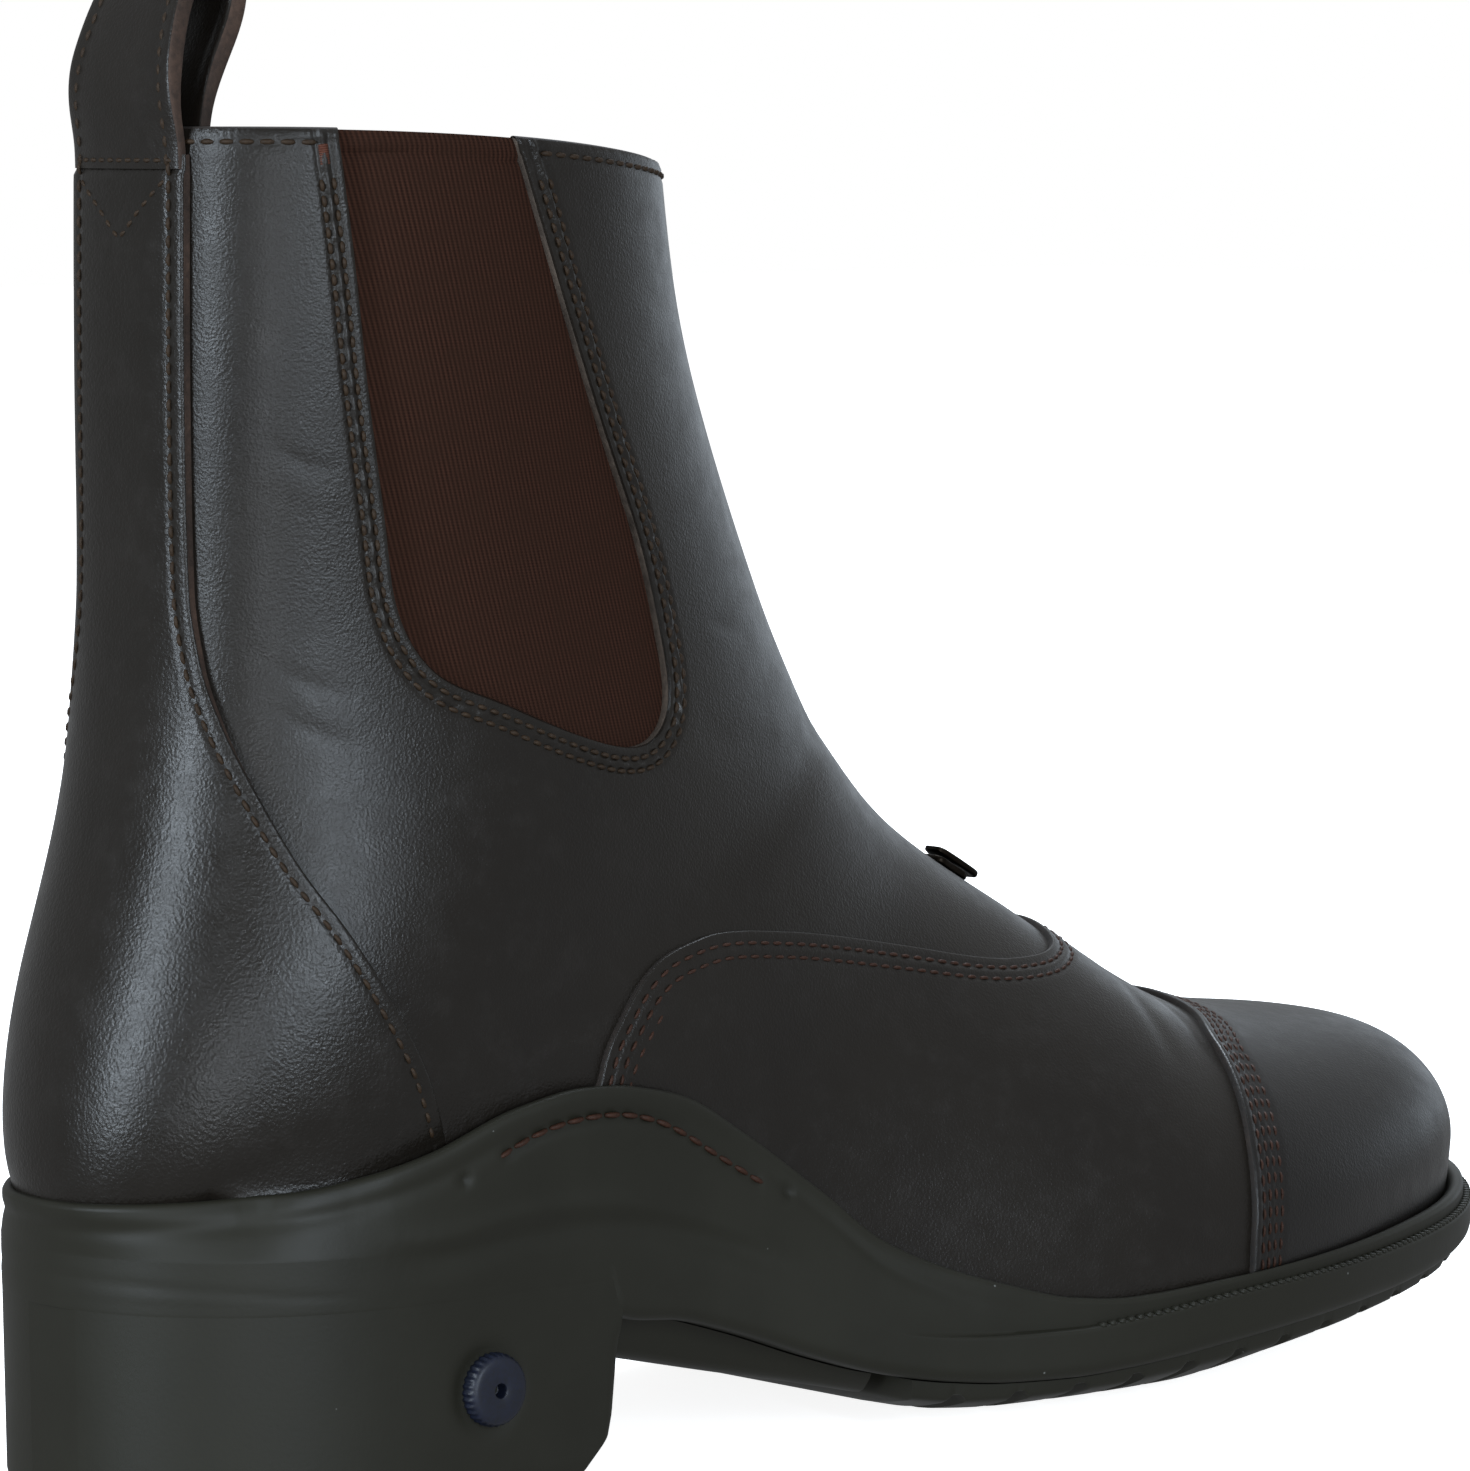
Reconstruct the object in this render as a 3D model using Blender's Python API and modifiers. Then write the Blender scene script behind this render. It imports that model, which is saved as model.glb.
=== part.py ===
"""Zip-front jodhpur boot for the right foot.

Toe along +X, wearer's left (the inner side of this boot) along +Y, up +Z.
Tables are in millimetres with the back of the heel at x = 0. The finished boot
is in metres, standing on z = 0 and centred on the origin in plan.
"""

import bmesh
import bpy
import numpy as np

MM = 0.001
LATERAL, MEDIAL = -1, 1

# Upper
WALL = 2.0             # leather and lining together
VAMP_STEP = 1.0        # vamp laid over the quarters
CAP_STEP = 1.0         # toe cap laid over the vamp
COLLAR_BOW = 1.6       # rise of the collar line at mid length
GAP = 0.35             # clearance between pieces that follow one another
FLOOR_DROP = 1.7       # cup floor below the leather's lower edge
CUP_GAP = 0.75         # clearance of the rubber round the leather's facets
COUNTER_GAP = 0.75     # clearance of the counter over the upper's facets
OVERLAY = 1.3          # thickness of the counter with its back strap
ELASTIC = 1.2          # thickness of the gussets
ELASTIC_SUNK = 0.5     # gusset face below the leather face

# Sole
HEEL_TOP = 28.0        # joint between heel block and cup
HEEL_LENGTH = 76.4
BREAST_LEAN = 2.4      # breast face leans back towards the floor
RIM = 2.2              # thickness of the rubber at its upper edge
LEDGE = 1.3            # set-back of the moulded welt above the sole edge
GROOVE_PITCH, GROOVE_WIDTH, GROOVE_DEPTH = 11.0, 2.4, 1.8
PLUG_X, PLUG_Z, PLUG_RADIUS, PLUG_PROUD, PLUG_HOLE = 52.0, 15.0, 5.2, 2.0, 1.0

# Zip
SLIT = 3.2             # half width of the front opening
SLIDER_LENGTH, SLIDER_WIDTH, SLIDER_HEIGHT = 7.6, 6.2, 2.2
TAB_LENGTH, TAB_WIDTH, TAB_THICK = 10.0, 4.2, 1.1
SLIDER_U = 0.3935      # place of the slider along the fan of sections

# Plan outline of the sole edge: half widths either side of the middle plane
OUTLINE = np.array([
    # x      lateral medial
    (2.5,    13.0,   13.0),
    (9.5,    23.5,   23.5),
    (20.0,   31.0,   31.0),
    (35.0,   34.8,   34.5),
    (58.0,   35.2,   34.0),
    (82.0,   36.0,   32.5),
    (108.0,  38.8,   32.5),
    (135.0,  43.5,   36.5),
    (162.0,  48.2,   44.5),
    (188.0,  49.6,   50.0),
    (212.0,  47.4,   51.8),
    (235.0,  41.8,   50.0),
    (255.0,  33.5,   45.0),
    (270.0,  23.0,   36.8),
    (280.0,  11.0,   26.0),
])
TIP_X, TIP_Y = 285.5, 8.0

# Heights along the sole: cup underside, side step, rubber rim and inner floor
SOLE_LEVELS = np.array([
    # x     under  step   rim
    (0.0,   28.4,  36.0,  43.6),
    (12.0,  28.4,  36.0,  44.6),
    (25.0,  28.4,  36.0,  46.0),
    (41.0,  28.4,  36.0,  49.4),
    (57.0,  28.4,  36.0,  54.7),
    (69.0,  28.4,  36.0,  56.5),
    (76.9,  28.4,  35.0,  56.1),
    (77.5,  23.2,  34.8,  56.0),
    (88.0,  20.8,  31.0,  53.6),
    (100.0, 17.2,  26.0,  47.0),
    (114.0, 12.2,  19.5,  37.1),
    (124.0, 9.2,   15.8,  29.2),
    (135.0, 7.2,   14.2,  24.1),
    (145.0, 6.2,   13.6,  20.9),
    (157.0, 5.9,   13.4,  17.9),
    (168.0, 6.4,   14.0,  17.0),
    (190.0, 8.2,   15.7,  17.9),
    (215.0, 9.9,   16.8,  19.2),
    (238.0, 11.3,  18.0,  20.6),
    (262.0, 13.4,  19.4,  22.0),
    (285.5, 15.6,  21.6,  24.4),
])

# Tread underside: middle flat and outer edge
TREAD_LEVELS = np.array([
    # x     middle edge
    (127.0, 3.2,   5.2),
    (140.0, 0.6,   3.6),
    (150.0, 0.0,   3.4),
    (162.0, 0.0,   3.7),
    (185.0, 0.0,   5.0),
    (205.0, 1.8,   6.4),
    (230.0, 5.2,   8.3),
    (255.0, 8.6,   10.4),
    (281.0, 12.2,  12.8),
])

# Fan of sections of the last, from the toe tip over the heel to the collar. Each runs from
# its base (sole edge or back line) to its top (ridge or front line); out is the belly beyond
# the base on each side, at its place along the section, back and crown the squareness.
FAN = np.array([
    # base_x base_z top_x  top_z top_y out_l out_m at    back  crown
    (276.6,  21.0,  277.2, 28.0,  8.0, 0.0,  0.0,  0.40, 2.0,  2.0),
    (273.6,  20.5,  274.8, 36.2,  7.6, 0.8,  0.8,  0.40, 2.0,  2.1),
    (266.0,  19.5,  268.4, 43.6,  6.8, 1.2,  1.2,  0.40, 2.0,  2.2),
    (254.5,  18.0,  258.0, 47.4,  5.8, 1.2,  1.2,  0.38, 2.0,  2.25),
    (237.0,  16.0,  242.0, 49.6,  4.4, 0.8,  0.8,  0.34, 2.0,  2.2),
    (214.0,  14.0,  222.0, 52.6,  2.8, 0.4,  0.4,  0.28, 2.0,  2.05),
    (190.0,  13.0,  206.5, 57.8,  1.4, 0.2,  0.2,  0.24, 2.0,  1.9),
    (165.0,  13.0,  193.6, 65.0,  0.6, 0.4,  0.4,  0.24, 2.0,  1.8),
    (140.0,  14.5,  181.8, 72.6,  0.0, 0.6,  0.8,  0.26, 2.0,  1.75),
    (115.0,  20.0,  169.3, 79.8,  0.0, 0.0,  1.6,  0.30, 2.0,  1.75),
    (90.0,   29.0,  158.0, 86.9,  0.0, 0.0,  2.2,  0.32, 2.0,  1.8),
    (62.0,   36.0,  149.4, 94.3,  0.0, 1.7,  2.0,  0.34, 2.0,  1.85),
    (36.0,   38.0,  143.2, 101.4, 0.0, 2.5,  2.5,  0.34, 2.0,  1.9),
    (15.0,   38.0,  139.4, 106.6, 0.0, 10.2, 10.1, 0.35, 2.0,  1.95),
    (3.4,    38.0,  136.0, 112.2, 0.0, 33.0, 32.6, 0.36, 2.0,  2.0),
    (0.2,    56.0,  131.4, 120.3, 0.0, 33.2, 32.8, 0.37, 2.1,  2.0),
    (5.4,    77.0,  127.1, 128.9, 0.0, 32.0, 31.6, 0.40, 2.25, 2.0),
    (11.8,   97.0,  122.3, 139.4, 0.0, 30.6, 30.2, 0.43, 2.5,  2.0),
    (15.0,   120.0, 117.0, 152.0, 0.0, 29.8, 29.4, 0.45, 2.8,  2.0),
    (15.4,   150.0, 111.8, 166.6, 0.0, 30.2, 29.8, 0.46, 3.0,  2.0),
    (15.7,   193.0, 107.6, 187.0, 0.0, 31.0, 30.6, 0.47, 3.0,  2.0),
])
HEEL_ROW = 14                       # first section that closes round the back
UPPER_INSET, TOE_INSET = 4.6, 7.0   # leather inside the sole edge, at heel and toe

# Seam lines across the sections: place along the fan against place across, 0 ridge to 1 base
VAMP_EDGE = np.array([
    # across along
    (0.00,   0.327),
    (0.18,   0.340),
    (0.25,   0.357),
    (0.31,   0.389),
    (0.38,   0.464),
    (0.44,   0.548),
    (0.475,  0.594),
    (0.51,   0.607),
    (0.59,   0.590),
    (0.66,   0.568),
    (0.80,   0.550),
    (1.00,   0.545),
])
CAP_EDGE = np.array([
    # across along
    (0.00,   0.206),
    (0.17,   0.218),
    (0.31,   0.238),
    (0.52,   0.243),
    (0.78,   0.233),
    (1.00,   0.225),
])

# Edge of the counter and back strap, and the gusset window, seen from the side
COUNTER_EDGE = np.array([
    # z      half girth of the strap or flare round the back
    (43.0,   64.5),
    (50.6,   62.3),
    (60.0,   58.0),
    (71.6,   49.2),
    (80.3,   41.2),
    (90.0,   31.4),
    (100.0,  23.6),
    (110.0,  17.6),
    (118.0,  14.4),
    (129.0,  12.5),
    (142.0,  12.2),
    (184.0,  12.2),
])
STRAP_TOP = 183.5
GUSSET = np.array([
    # z      rear  front
    (104.4,  80.0, 83.8),
    (105.6,  75.6, 89.6),
    (108.7,  66.4, 91.8),
    (112.9,  55.5, 92.3),
    (116.6,  47.2, 91.9),
    (120.0,  44.0, 91.3),
    (126.0,  41.2, 89.9),
    (134.6,  39.8, 87.1),
    (145.0,  38.3, 82.2),
    (157.0,  36.5, 76.2),
    (174.0,  34.5, 68.3),
    (190.0,  32.4, 61.4),
    (206.0,  30.4, 54.6),
])

# Pull loop, middle line of the strap from its outer foot over the top to its inner foot
LOOP_LINE = np.array([
    # x     z      half
    (14.3,  184.3, 12.2),
    (14.2,  190.0, 12.2),
    (13.9,  196.0, 12.0),
    (15.0,  203.0, 11.2),
    (17.6,  210.5, 10.0),
    (21.6,  216.2, 9.4),
    (26.2,  217.0, 9.4),
    (28.6,  212.0, 9.8),
    (26.6,  205.0, 10.6),
    (23.8,  197.5, 11.2),
    (21.9,  190.0, 11.4),
    (21.4,  180.0, 11.4),
])
LOOP_THICK = 2.0

MATERIALS = {
    # name: base colour, roughness, metallic
    "leather": ((0.020, 0.017, 0.015), 0.45, 0.0),
    "rubber": ((0.022, 0.021, 0.018), 0.70, 0.0),
    "elastic": ((0.035, 0.017, 0.012), 0.90, 0.0),
    "zip_tape": ((0.012, 0.010, 0.009), 0.90, 0.0),
    "zip_metal": ((0.060, 0.055, 0.050), 0.40, 1.0),
    "plug": ((0.012, 0.016, 0.035), 0.45, 0.0),
    "insole": ((0.100, 0.060, 0.035), 0.80, 0.0),
}


def spline(knots, values, at):
    """Natural cubic spline through the values at the knots."""
    knots, values, at = (np.asarray(a, float) for a in (knots, values, at))
    step, count = np.diff(knots), len(knots)
    matrix, right = np.eye(count), np.zeros(count)
    i = np.arange(1, count - 1)
    matrix[i, i - 1], matrix[i, i], matrix[i, i + 1] = step[:-1], 2 * (step[:-1] + step[1:]), step[1:]
    slope = np.diff(values) / step
    right[i] = 6 * (slope[1:] - slope[:-1])
    bend = np.linalg.solve(matrix, right)
    k = np.clip(np.searchsorted(knots, at, side="right") - 1, 0, count - 2)
    p, q = (knots[k + 1] - at) / step[k], (at - knots[k]) / step[k]
    curve = ((p ** 3 - p) * bend[k] + (q ** 3 - q) * bend[k + 1]) * step[k] ** 2 / 6
    return p * values[k] + q * values[k + 1] + curve


def smooth(xs, ys, at):
    """Monotone cubic through the points, level beyond them."""
    xs, ys = np.asarray(xs, float), np.asarray(ys, float)
    step = np.diff(xs)
    slope = np.diff(ys) / step
    before, after = slope[:-1], slope[1:]
    w1, w2 = 2 * step[1:] + step[:-1], step[1:] + 2 * step[:-1]
    alike = before * after > 0
    under = np.where(alike, w1 * after + w2 * before, 1.0)
    tangent = np.concatenate([slope[:1], np.where(alike, (w1 + w2) * before * after / under, 0.0), slope[-1:]])
    at = np.clip(np.asarray(at, float), xs[0], xs[-1])
    k = np.clip(np.searchsorted(xs, at, side="right") - 1, 0, len(xs) - 2)
    t, h = (at - xs[k]) / step[k], step[k]
    return ((1 + 2 * t) * (1 - t) ** 2 * ys[k] + t * (1 - t) ** 2 * h * tangent[k]
            + t * t * (3 - 2 * t) * ys[k + 1] + t * t * (t - 1) * h * tangent[k + 1])


def blend(x, start, end):
    """Soft step from 0 at start to 1 at end."""
    t = np.clip((np.asarray(x, float) - start) / (end - start), 0, 1)
    return t * t * (3 - 2 * t)


def sole_loop(count=1600):
    """Closed plan curve of the sole edge, from the heel back along the lateral side, with inward normals."""
    x, lateral, medial = OUTLINE.T
    px = np.tile(np.concatenate([[0], x, [TIP_X], x[::-1]]), 3)
    py = np.tile(np.concatenate([[0], -lateral, [TIP_Y], medial[::-1]]), 3)
    along = np.concatenate([[0], np.cumsum(np.hypot(np.diff(px), np.diff(py)))])
    third = len(px) // 3
    at = np.linspace(along[third], along[2 * third], count, endpoint=False)
    curve = np.stack([spline(along, px, at), spline(along, py, at)], 1)
    tangent = np.roll(curve, -1, 0) - np.roll(curve, 1, 0)
    tangent /= np.linalg.norm(tangent, axis=1, keepdims=True)
    return curve, np.stack([-tangent[:, 1], tangent[:, 0]], 1)


EDGE, INWARD = sole_loop()
TIP_INDEX = int(np.argmax(EDGE[:, 0]))


def edge_half(side):
    """Indices of the sole edge on one side, from heel to toe."""
    if side == LATERAL:
        return np.arange(0, TIP_INDEX + 1)
    return np.concatenate([[0], np.arange(len(EDGE) - 1, TIP_INDEX - 1, -1)])


def edge_stations(x, side):
    """Points of the sole edge at the given x on one side, with their inward normals."""
    index = edge_half(side)
    order = index[np.argsort(EDGE[index, 0], kind="stable")]
    pick = [np.interp(x, EDGE[order, 0], column[order]) for column in (EDGE[:, 1], INWARD[:, 0], INWARD[:, 1])]
    return np.stack([x, pick[0]], 1), np.stack(pick[1:], 1)


def inset_half(inset, side):
    """x and y of the sole edge moved inward on one side, in order of x."""
    index = edge_half(side)
    moved = EDGE[index] + inset * INWARD[index]
    return moved[np.argsort(moved[:, 0], kind="stable")]


BASE_LINES = {side: (inset_half(UPPER_INSET, side), inset_half(TOE_INSET, side)) for side in (LATERAL, MEDIAL)}
MOVES = (np.diff(FAN[:, :4], axis=0) ** 2).sum(1)
KNOTS = np.concatenate([[0], np.cumsum(np.sqrt(MOVES))]) / np.sqrt(MOVES).sum()
HEEL_U = KNOTS[HEEL_ROW]


def base_width(u, side):
    """Distance of the section's base from the middle plane; nothing from the heel row on."""
    x = spline(KNOTS, FAN[:, 0], u)
    heel, toe = (side * np.interp(x, line[:, 0], line[:, 1]) for line in BASE_LINES[side])
    mix = blend(x, 190, 262)
    return np.where(u >= HEEL_U - 1e-9, 0.0, heel * (1 - mix) + toe * mix)


def bellies(side):
    """Greatest distance of each section from the middle plane on one side."""
    out = FAN[:, 5 if side == LATERAL else 6].copy()
    out[:HEEL_ROW] += base_width(KNOTS[:HEEL_ROW], side)
    return out


BELLY = {side: bellies(side) for side in (LATERAL, MEDIAL)}


def width_along(u, a, side):
    """y of the section u at the fraction a of its length, on the given side."""
    at, back, crown, top_y = (spline(KNOTS, FAN[:, k], u) for k in (7, 8, 9, 4))
    base, belly = base_width(u, side), spline(KNOTS, BELLY[side], u)
    low = np.arccos(np.clip(1 - a / at, 0, 1))
    high = np.arcsin(np.clip((a - at) / (1 - at), 0, 1))
    y_low = side * (base + (belly - base) * np.sin(low) ** (2 / back))
    y_high = top_y + (side * belly - top_y) * np.cos(high) ** (2 / crown)
    return np.where(a < at, y_low, y_high)


def skin(u, v):
    """Point of the upper's outer face: u from toe tip to collar, v from -1 lateral base by 0 ridge to 1 medial base."""
    u, v = np.broadcast_arrays(np.asarray(u, float), np.asarray(v, float))
    ring = u >= HEEL_U - 1e-9
    v = np.where(ring & (v > 1), v - 2, np.where(ring & (v < -1), v + 2, v))
    t, at = 1 - np.abs(v), spline(KNOTS, FAN[:, 7], u)
    split = 0.12 + 0.75 * at
    low, high = (np.clip(s, 0, 1) * np.pi / 2 for s in (t / split, (t - split) / (1 - split)))
    a = np.where(t < split, at * (1 - np.cos(low)), at + (1 - at) * np.sin(high))
    y = np.where(v < 0, width_along(u, a, LATERAL), width_along(u, a, MEDIAL))
    base_x, base_z, top_x, top_z = (spline(KNOTS, FAN[:, k], u) for k in range(4))
    bow = COLLAR_BOW * 4 * a * (1 - a) * np.clip((u - 0.8) / 0.2, 0, 1) ** 2
    return np.stack([base_x + a * (top_x - base_x), y, base_z + a * (top_z - base_z) + bow], -1)


def normal(u, v):
    """Outward unit normal of the skin, by differences."""
    e = 1e-3
    u, v = np.broadcast_arrays(np.asarray(u, float), np.asarray(v, float))
    u = np.clip(u, 2 * e, 1)
    ring = u >= HEEL_U + e
    v = np.where(ring, v, np.clip(v, -0.97, 0.97))
    n = np.cross(skin(u, v + e) - skin(u, v - e), skin(np.minimum(u + e, 1), v) - skin(u - e, v))
    return n / np.maximum(np.linalg.norm(n, axis=-1, keepdims=True), 1e-9)


def lifted(u, v, lift):
    """Point above the skin by lift along its normal."""
    return skin(u, v) + np.asarray(lift, float)[..., None] * normal(u, v)


def contour(z, side):
    """Plan curve of the skin at one height on one side, from toe to heel."""
    u = np.linspace(0, 1, 700)
    base_x, base_z, top_x, top_z = (spline(KNOTS, FAN[:, k], u) for k in range(4))
    a = (z - base_z) / (top_z - base_z)
    keep = (a >= 0) & (a <= 1)
    x = base_x + a * (top_x - base_x)
    return np.stack([x[keep], width_along(u[keep], a[keep], side)], 1)


def reach(points, inward, heights, side):
    """Distance from each sole edge point inward to the skin at its own height."""
    found = np.zeros(len(points))
    for k, (point, way, z) in enumerate(zip(points, inward, heights)):
        line = contour(z, side)
        start, step = line[:-1], np.diff(line, axis=0)
        cross = way[0] * step[:, 1] - way[1] * step[:, 0]
        safe = np.where(np.abs(cross) < 1e-9, 1e-9, cross)
        gap = start - point
        r = (gap[:, 0] * step[:, 1] - gap[:, 1] * step[:, 0]) / safe
        s = (gap[:, 0] * way[1] - gap[:, 1] * way[0]) / safe
        hit = r[(s >= -1e-6) & (s <= 1 + 1e-6) & (r > -8) & (r < 16)]
        found[k] = hit.min() if len(hit) else np.nan
    good = ~np.isnan(found)
    return np.interp(np.arange(len(found)), np.flatnonzero(good), found[good])


def leather_inset(x):
    """Distance of the leather's lower edge inside the sole edge."""
    return UPPER_INSET + (TOE_INSET - UPPER_INSET) * blend(x, 190, 262)


def new_object(name, vertices, faces, material, collection):
    """Mesh object from points in millimetres, welded, with outward faces."""
    mesh = bpy.data.meshes.new(name)
    mesh.from_pydata((np.asarray(vertices) * MM).tolist(), [], [tuple(map(int, f)) for f in faces])
    work = bmesh.new()
    work.from_mesh(mesh)
    bmesh.ops.remove_doubles(work, verts=work.verts, dist=0.02 * MM)
    bmesh.ops.dissolve_degenerate(work, edges=work.edges, dist=0.01 * MM)
    bmesh.ops.recalc_face_normals(work, faces=work.faces)
    work.to_mesh(mesh)
    work.free()
    obj = bpy.data.objects.new(name, mesh)
    collection.objects.link(obj)
    if material:
        mesh.materials.append(material)
    return obj


def strips(rows, columns, start=0, closed=False):
    """Quads of a grid of rows by columns, closed round the columns on request."""
    faces = []
    for i in range(rows - 1):
        for j in range(columns if closed else columns - 1):
            k = (j + 1) % columns
            faces.append((start + i * columns + j, start + i * columns + k,
                          start + (i + 1) * columns + k, start + (i + 1) * columns + j))
    return faces


def loop_solid(name, loops, material, collection):
    """Solid between closed loops, each lateral heel to toe then medial toe to heel, with ruled caps."""
    loops = np.asarray(loops)
    levels, count = loops.shape[:2]
    faces = strips(levels, count, closed=True)
    for first in (0, (levels - 1) * count):
        for j in range(count // 2 - 1):
            k = count - 1 - j
            faces.append((first + j, first + j + 1, first + k - 1, first + k))
    return new_object(name, loops.reshape(-1, 3), faces, material, collection)


def sheet_solid(name, outer, inner, material, collection):
    """Solid between two matching grids of points, closed round their borders."""
    rows, columns = outer.shape[:2]
    size = rows * columns
    faces = strips(rows, columns) + strips(rows, columns, size)
    border = ([(i, 0) for i in range(rows)] + [(rows - 1, j) for j in range(1, columns)]
              + [(i, columns - 1) for i in range(rows - 2, -1, -1)] + [(0, j) for j in range(columns - 2, 0, -1)])
    index = [i * columns + j for i, j in border]
    for a, b in zip(index, index[1:] + index[:1]):
        faces.append((a, b, size + b, size + a))
    return new_object(name, np.concatenate([outer.reshape(-1, 3), inner.reshape(-1, 3)]), faces, material, collection)


def prism(name, outline, low, high, collection):
    """Cutter with the given x and z outline, from y low to y high."""
    outline = np.asarray(outline)
    count = len(outline)
    points = np.concatenate([np.insert(outline, 1, y, axis=1) for y in (low, high)])
    faces = strips(2, count, closed=True) + [tuple(range(count)), tuple(range(2 * count - 1, count - 1, -1))]
    cutter = new_object(name, points, faces, None, collection)
    cutter.hide_render = True
    cutter.display_type = "WIRE"
    return cutter


def boolean(obj, cutter, operation):
    cut = obj.modifiers.new(cutter.name, "BOOLEAN")
    cut.operation, cut.solver, cut.object = operation, "EXACT", cutter


def sides(stations, inset, heights):
    """Closed loop at the stations, moved inward, at heights given or worked out from the moved x."""
    halves = []
    for side in (LATERAL, MEDIAL):
        points, inward = edge_stations(stations, side)
        own = inset[side] if isinstance(inset, dict) else inset
        plan = points + np.broadcast_to(own, len(points))[:, None] * inward
        tall = heights(plan[:, 0]) if callable(heights) else heights
        halves.append(np.column_stack([plan, np.broadcast_to(tall, len(points))]))
    return np.concatenate([halves[0], halves[1][::-1]])


def feather(x):
    """Height of the leather's lower edge at x."""
    u = np.linspace(HEEL_U, 0, 600)
    return np.interp(x, spline(KNOTS, FAN[:, 0], u), spline(KNOTS, FAN[:, 1], u))


def underside(x):
    """Height of the cup's underside at x."""
    return smooth(SOLE_LEVELS[:, 0], SOLE_LEVELS[:, 1], x)


def build_sole(material, collection):
    """Moulded cup: side wall with its wave at the waist, moulded welt round the forefoot, inner floor."""
    turn = np.linspace(0, np.pi, 31)
    x = 0.35 + (TIP_X - 0.9) * (1 - np.cos(turn)) / 2
    x = np.unique(np.round(np.concatenate([x, [60, 70, 76.9, 77.5, 84, 92, 100, 108, 116, 130, 150, 172, 192]]), 3))
    under, step, rim = (smooth(SOLE_LEVELS[:, 0], SOLE_LEVELS[:, k], x) for k in (1, 2, 3))
    base = feather(np.clip(x, 3.5, 276.5)) + 0.1
    wall, front = {}, blend(x, 122, 152)
    proud = VAMP_STEP * blend(x, 27, 37) + CAP_STEP * blend(x, 182, 197)
    for side in (LATERAL, MEDIAL):
        points, inward = edge_stations(x, side)
        for k in (1, 2, 3):
            wall[k, side] = reach(points, inward, base + (rim - base) * k / 3, side) - CUP_GAP - proud
        wall[0, side] = np.minimum(leather_inset(x) - CUP_GAP - proud, wall[1, side])
    level = {k: {side: wall[k, side] for side in (LATERAL, MEDIAL)} for k in range(4)}
    lip = {side: (level[3][side] - RIM) * (1 - front) + LEDGE * front for side in (LATERAL, MEDIAL)}
    shelf = {side: lip[side] * np.maximum(front, 0.45) for side in (LATERAL, MEDIAL)}
    loops = [
        sides(x, 2.0, underside),
        sides(x, 0.4, under + 1.2),
        sides(x, 0.0, step),
        sides(x, shelf, step + 0.5 + 4.0 * (1 - front)),
        sides(x, lip, rim - 0.6),
        sides(x, {side: lip[side] + 0.6 for side in lip}, rim),
    ]
    loops += [sides(x, level[k], base + (rim - base) * k / 3) for k in (3, 2, 1, 0)]
    loops.append(sides(x, level[0], lambda plan_x: feather(plan_x) - FLOOR_DROP))
    return loop_solid("sole_unit", loops, material, collection)


def build_heel(material, collection):
    """Stacked-look heel block with a leaning breast and a chamfered front lower edge."""
    x = np.concatenate([0.5 + 38 * (1 - np.cos(np.linspace(0, np.pi / 2, 10))), [48, 58, 66, 71.5, HEEL_LENGTH]])
    loops = []
    for level, inset in ((0.0, 2.8), (2.0, 1.1), (14.0, 0.5), (HEEL_TOP, 0.2)):
        loop = sides(x, inset, level)
        fall = 1 - level / HEEL_TOP
        loop[:, 0] -= BREAST_LEAN * fall * blend(loop[:, 0], 30, HEEL_LENGTH)
        chamfer = np.clip(loop[:, 0] - (HEEL_LENGTH - BREAST_LEAN - 6.0), 0, None)
        loop[:, 2] = np.maximum(loop[:, 2], np.where(level < 10, chamfer + level * 0.3, level))
        loops.append(loop)
    return loop_solid("heel", loops, material, collection)


def build_tread(material, collection):
    """Forefoot tread under the cup, flat in the middle and rising to its edge, with cross grooves."""
    start, end = 128.6, 280.5
    grooves = np.arange(start + 8.0, end - 8.0, GROOVE_PITCH)
    cuts = (grooves[:, None] + GROOVE_WIDTH * np.array([-0.62, -0.38, 0.38, 0.62])).ravel()
    depth = np.tile([0, GROOVE_DEPTH, GROOVE_DEPTH, 0], len(grooves))
    tail = np.array([277.5, 279.5, end])
    x = np.concatenate([[start], cuts, tail])
    depth = np.concatenate([[0], depth, np.zeros(len(tail))])
    middle, edge = (smooth(TREAD_LEVELS[:, 0], TREAD_LEVELS[:, k], x) for k in (1, 2))
    top = underside(x) - GAP
    narrow = 14.0 * (1 - blend(x, 255, end)) + 4.5
    loops = [
        sides(x, narrow, middle + depth),
        sides(x, 3.0, np.minimum(edge + depth, top - 0.5)),
        sides(x, 2.4, lambda plan_x: underside(plan_x) - GAP),
    ]
    return loop_solid("forefoot_tread", loops, material, collection)


def build_waist(material, collection):
    """Plate under the arch between the heel breast and the tread."""
    x = np.array([79.2, 84.0, 92.0, 100.0, 108.0, 116.0, 121.0, 124.0])
    low = smooth([78, 87, 101, 115, 127], [15.6, 13.6, 10.4, 7.4, 4.6], x)
    loops = [sides(x, 13.0, low), sides(x, 9.0, low + 1.2),
             sides(x, 7.0, lambda plan_x: underside(plan_x) - GAP)]
    return loop_solid("waist_plate", loops, material, collection)


def build_insole(material, collection):
    """Thin insole lying on the cup's floor inside the leather."""
    x = 6.6 + 266.0 * (1 - np.cos(np.linspace(0.10, np.pi - 0.10, 34))) / 2
    inset = leather_inset(x) + WALL + 1.2
    loops = [sides(x, inset + more, lambda plan_x, up=up: feather(plan_x) + up)
             for more, up in ((0.0, GAP - FLOOR_DROP), (0.0, 2.6), (0.8, 3.2))]
    return loop_solid("insole", loops, material, collection)


def seam(table, v):
    return smooth(table[:, 0], table[:, 1], np.abs(v))


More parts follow.
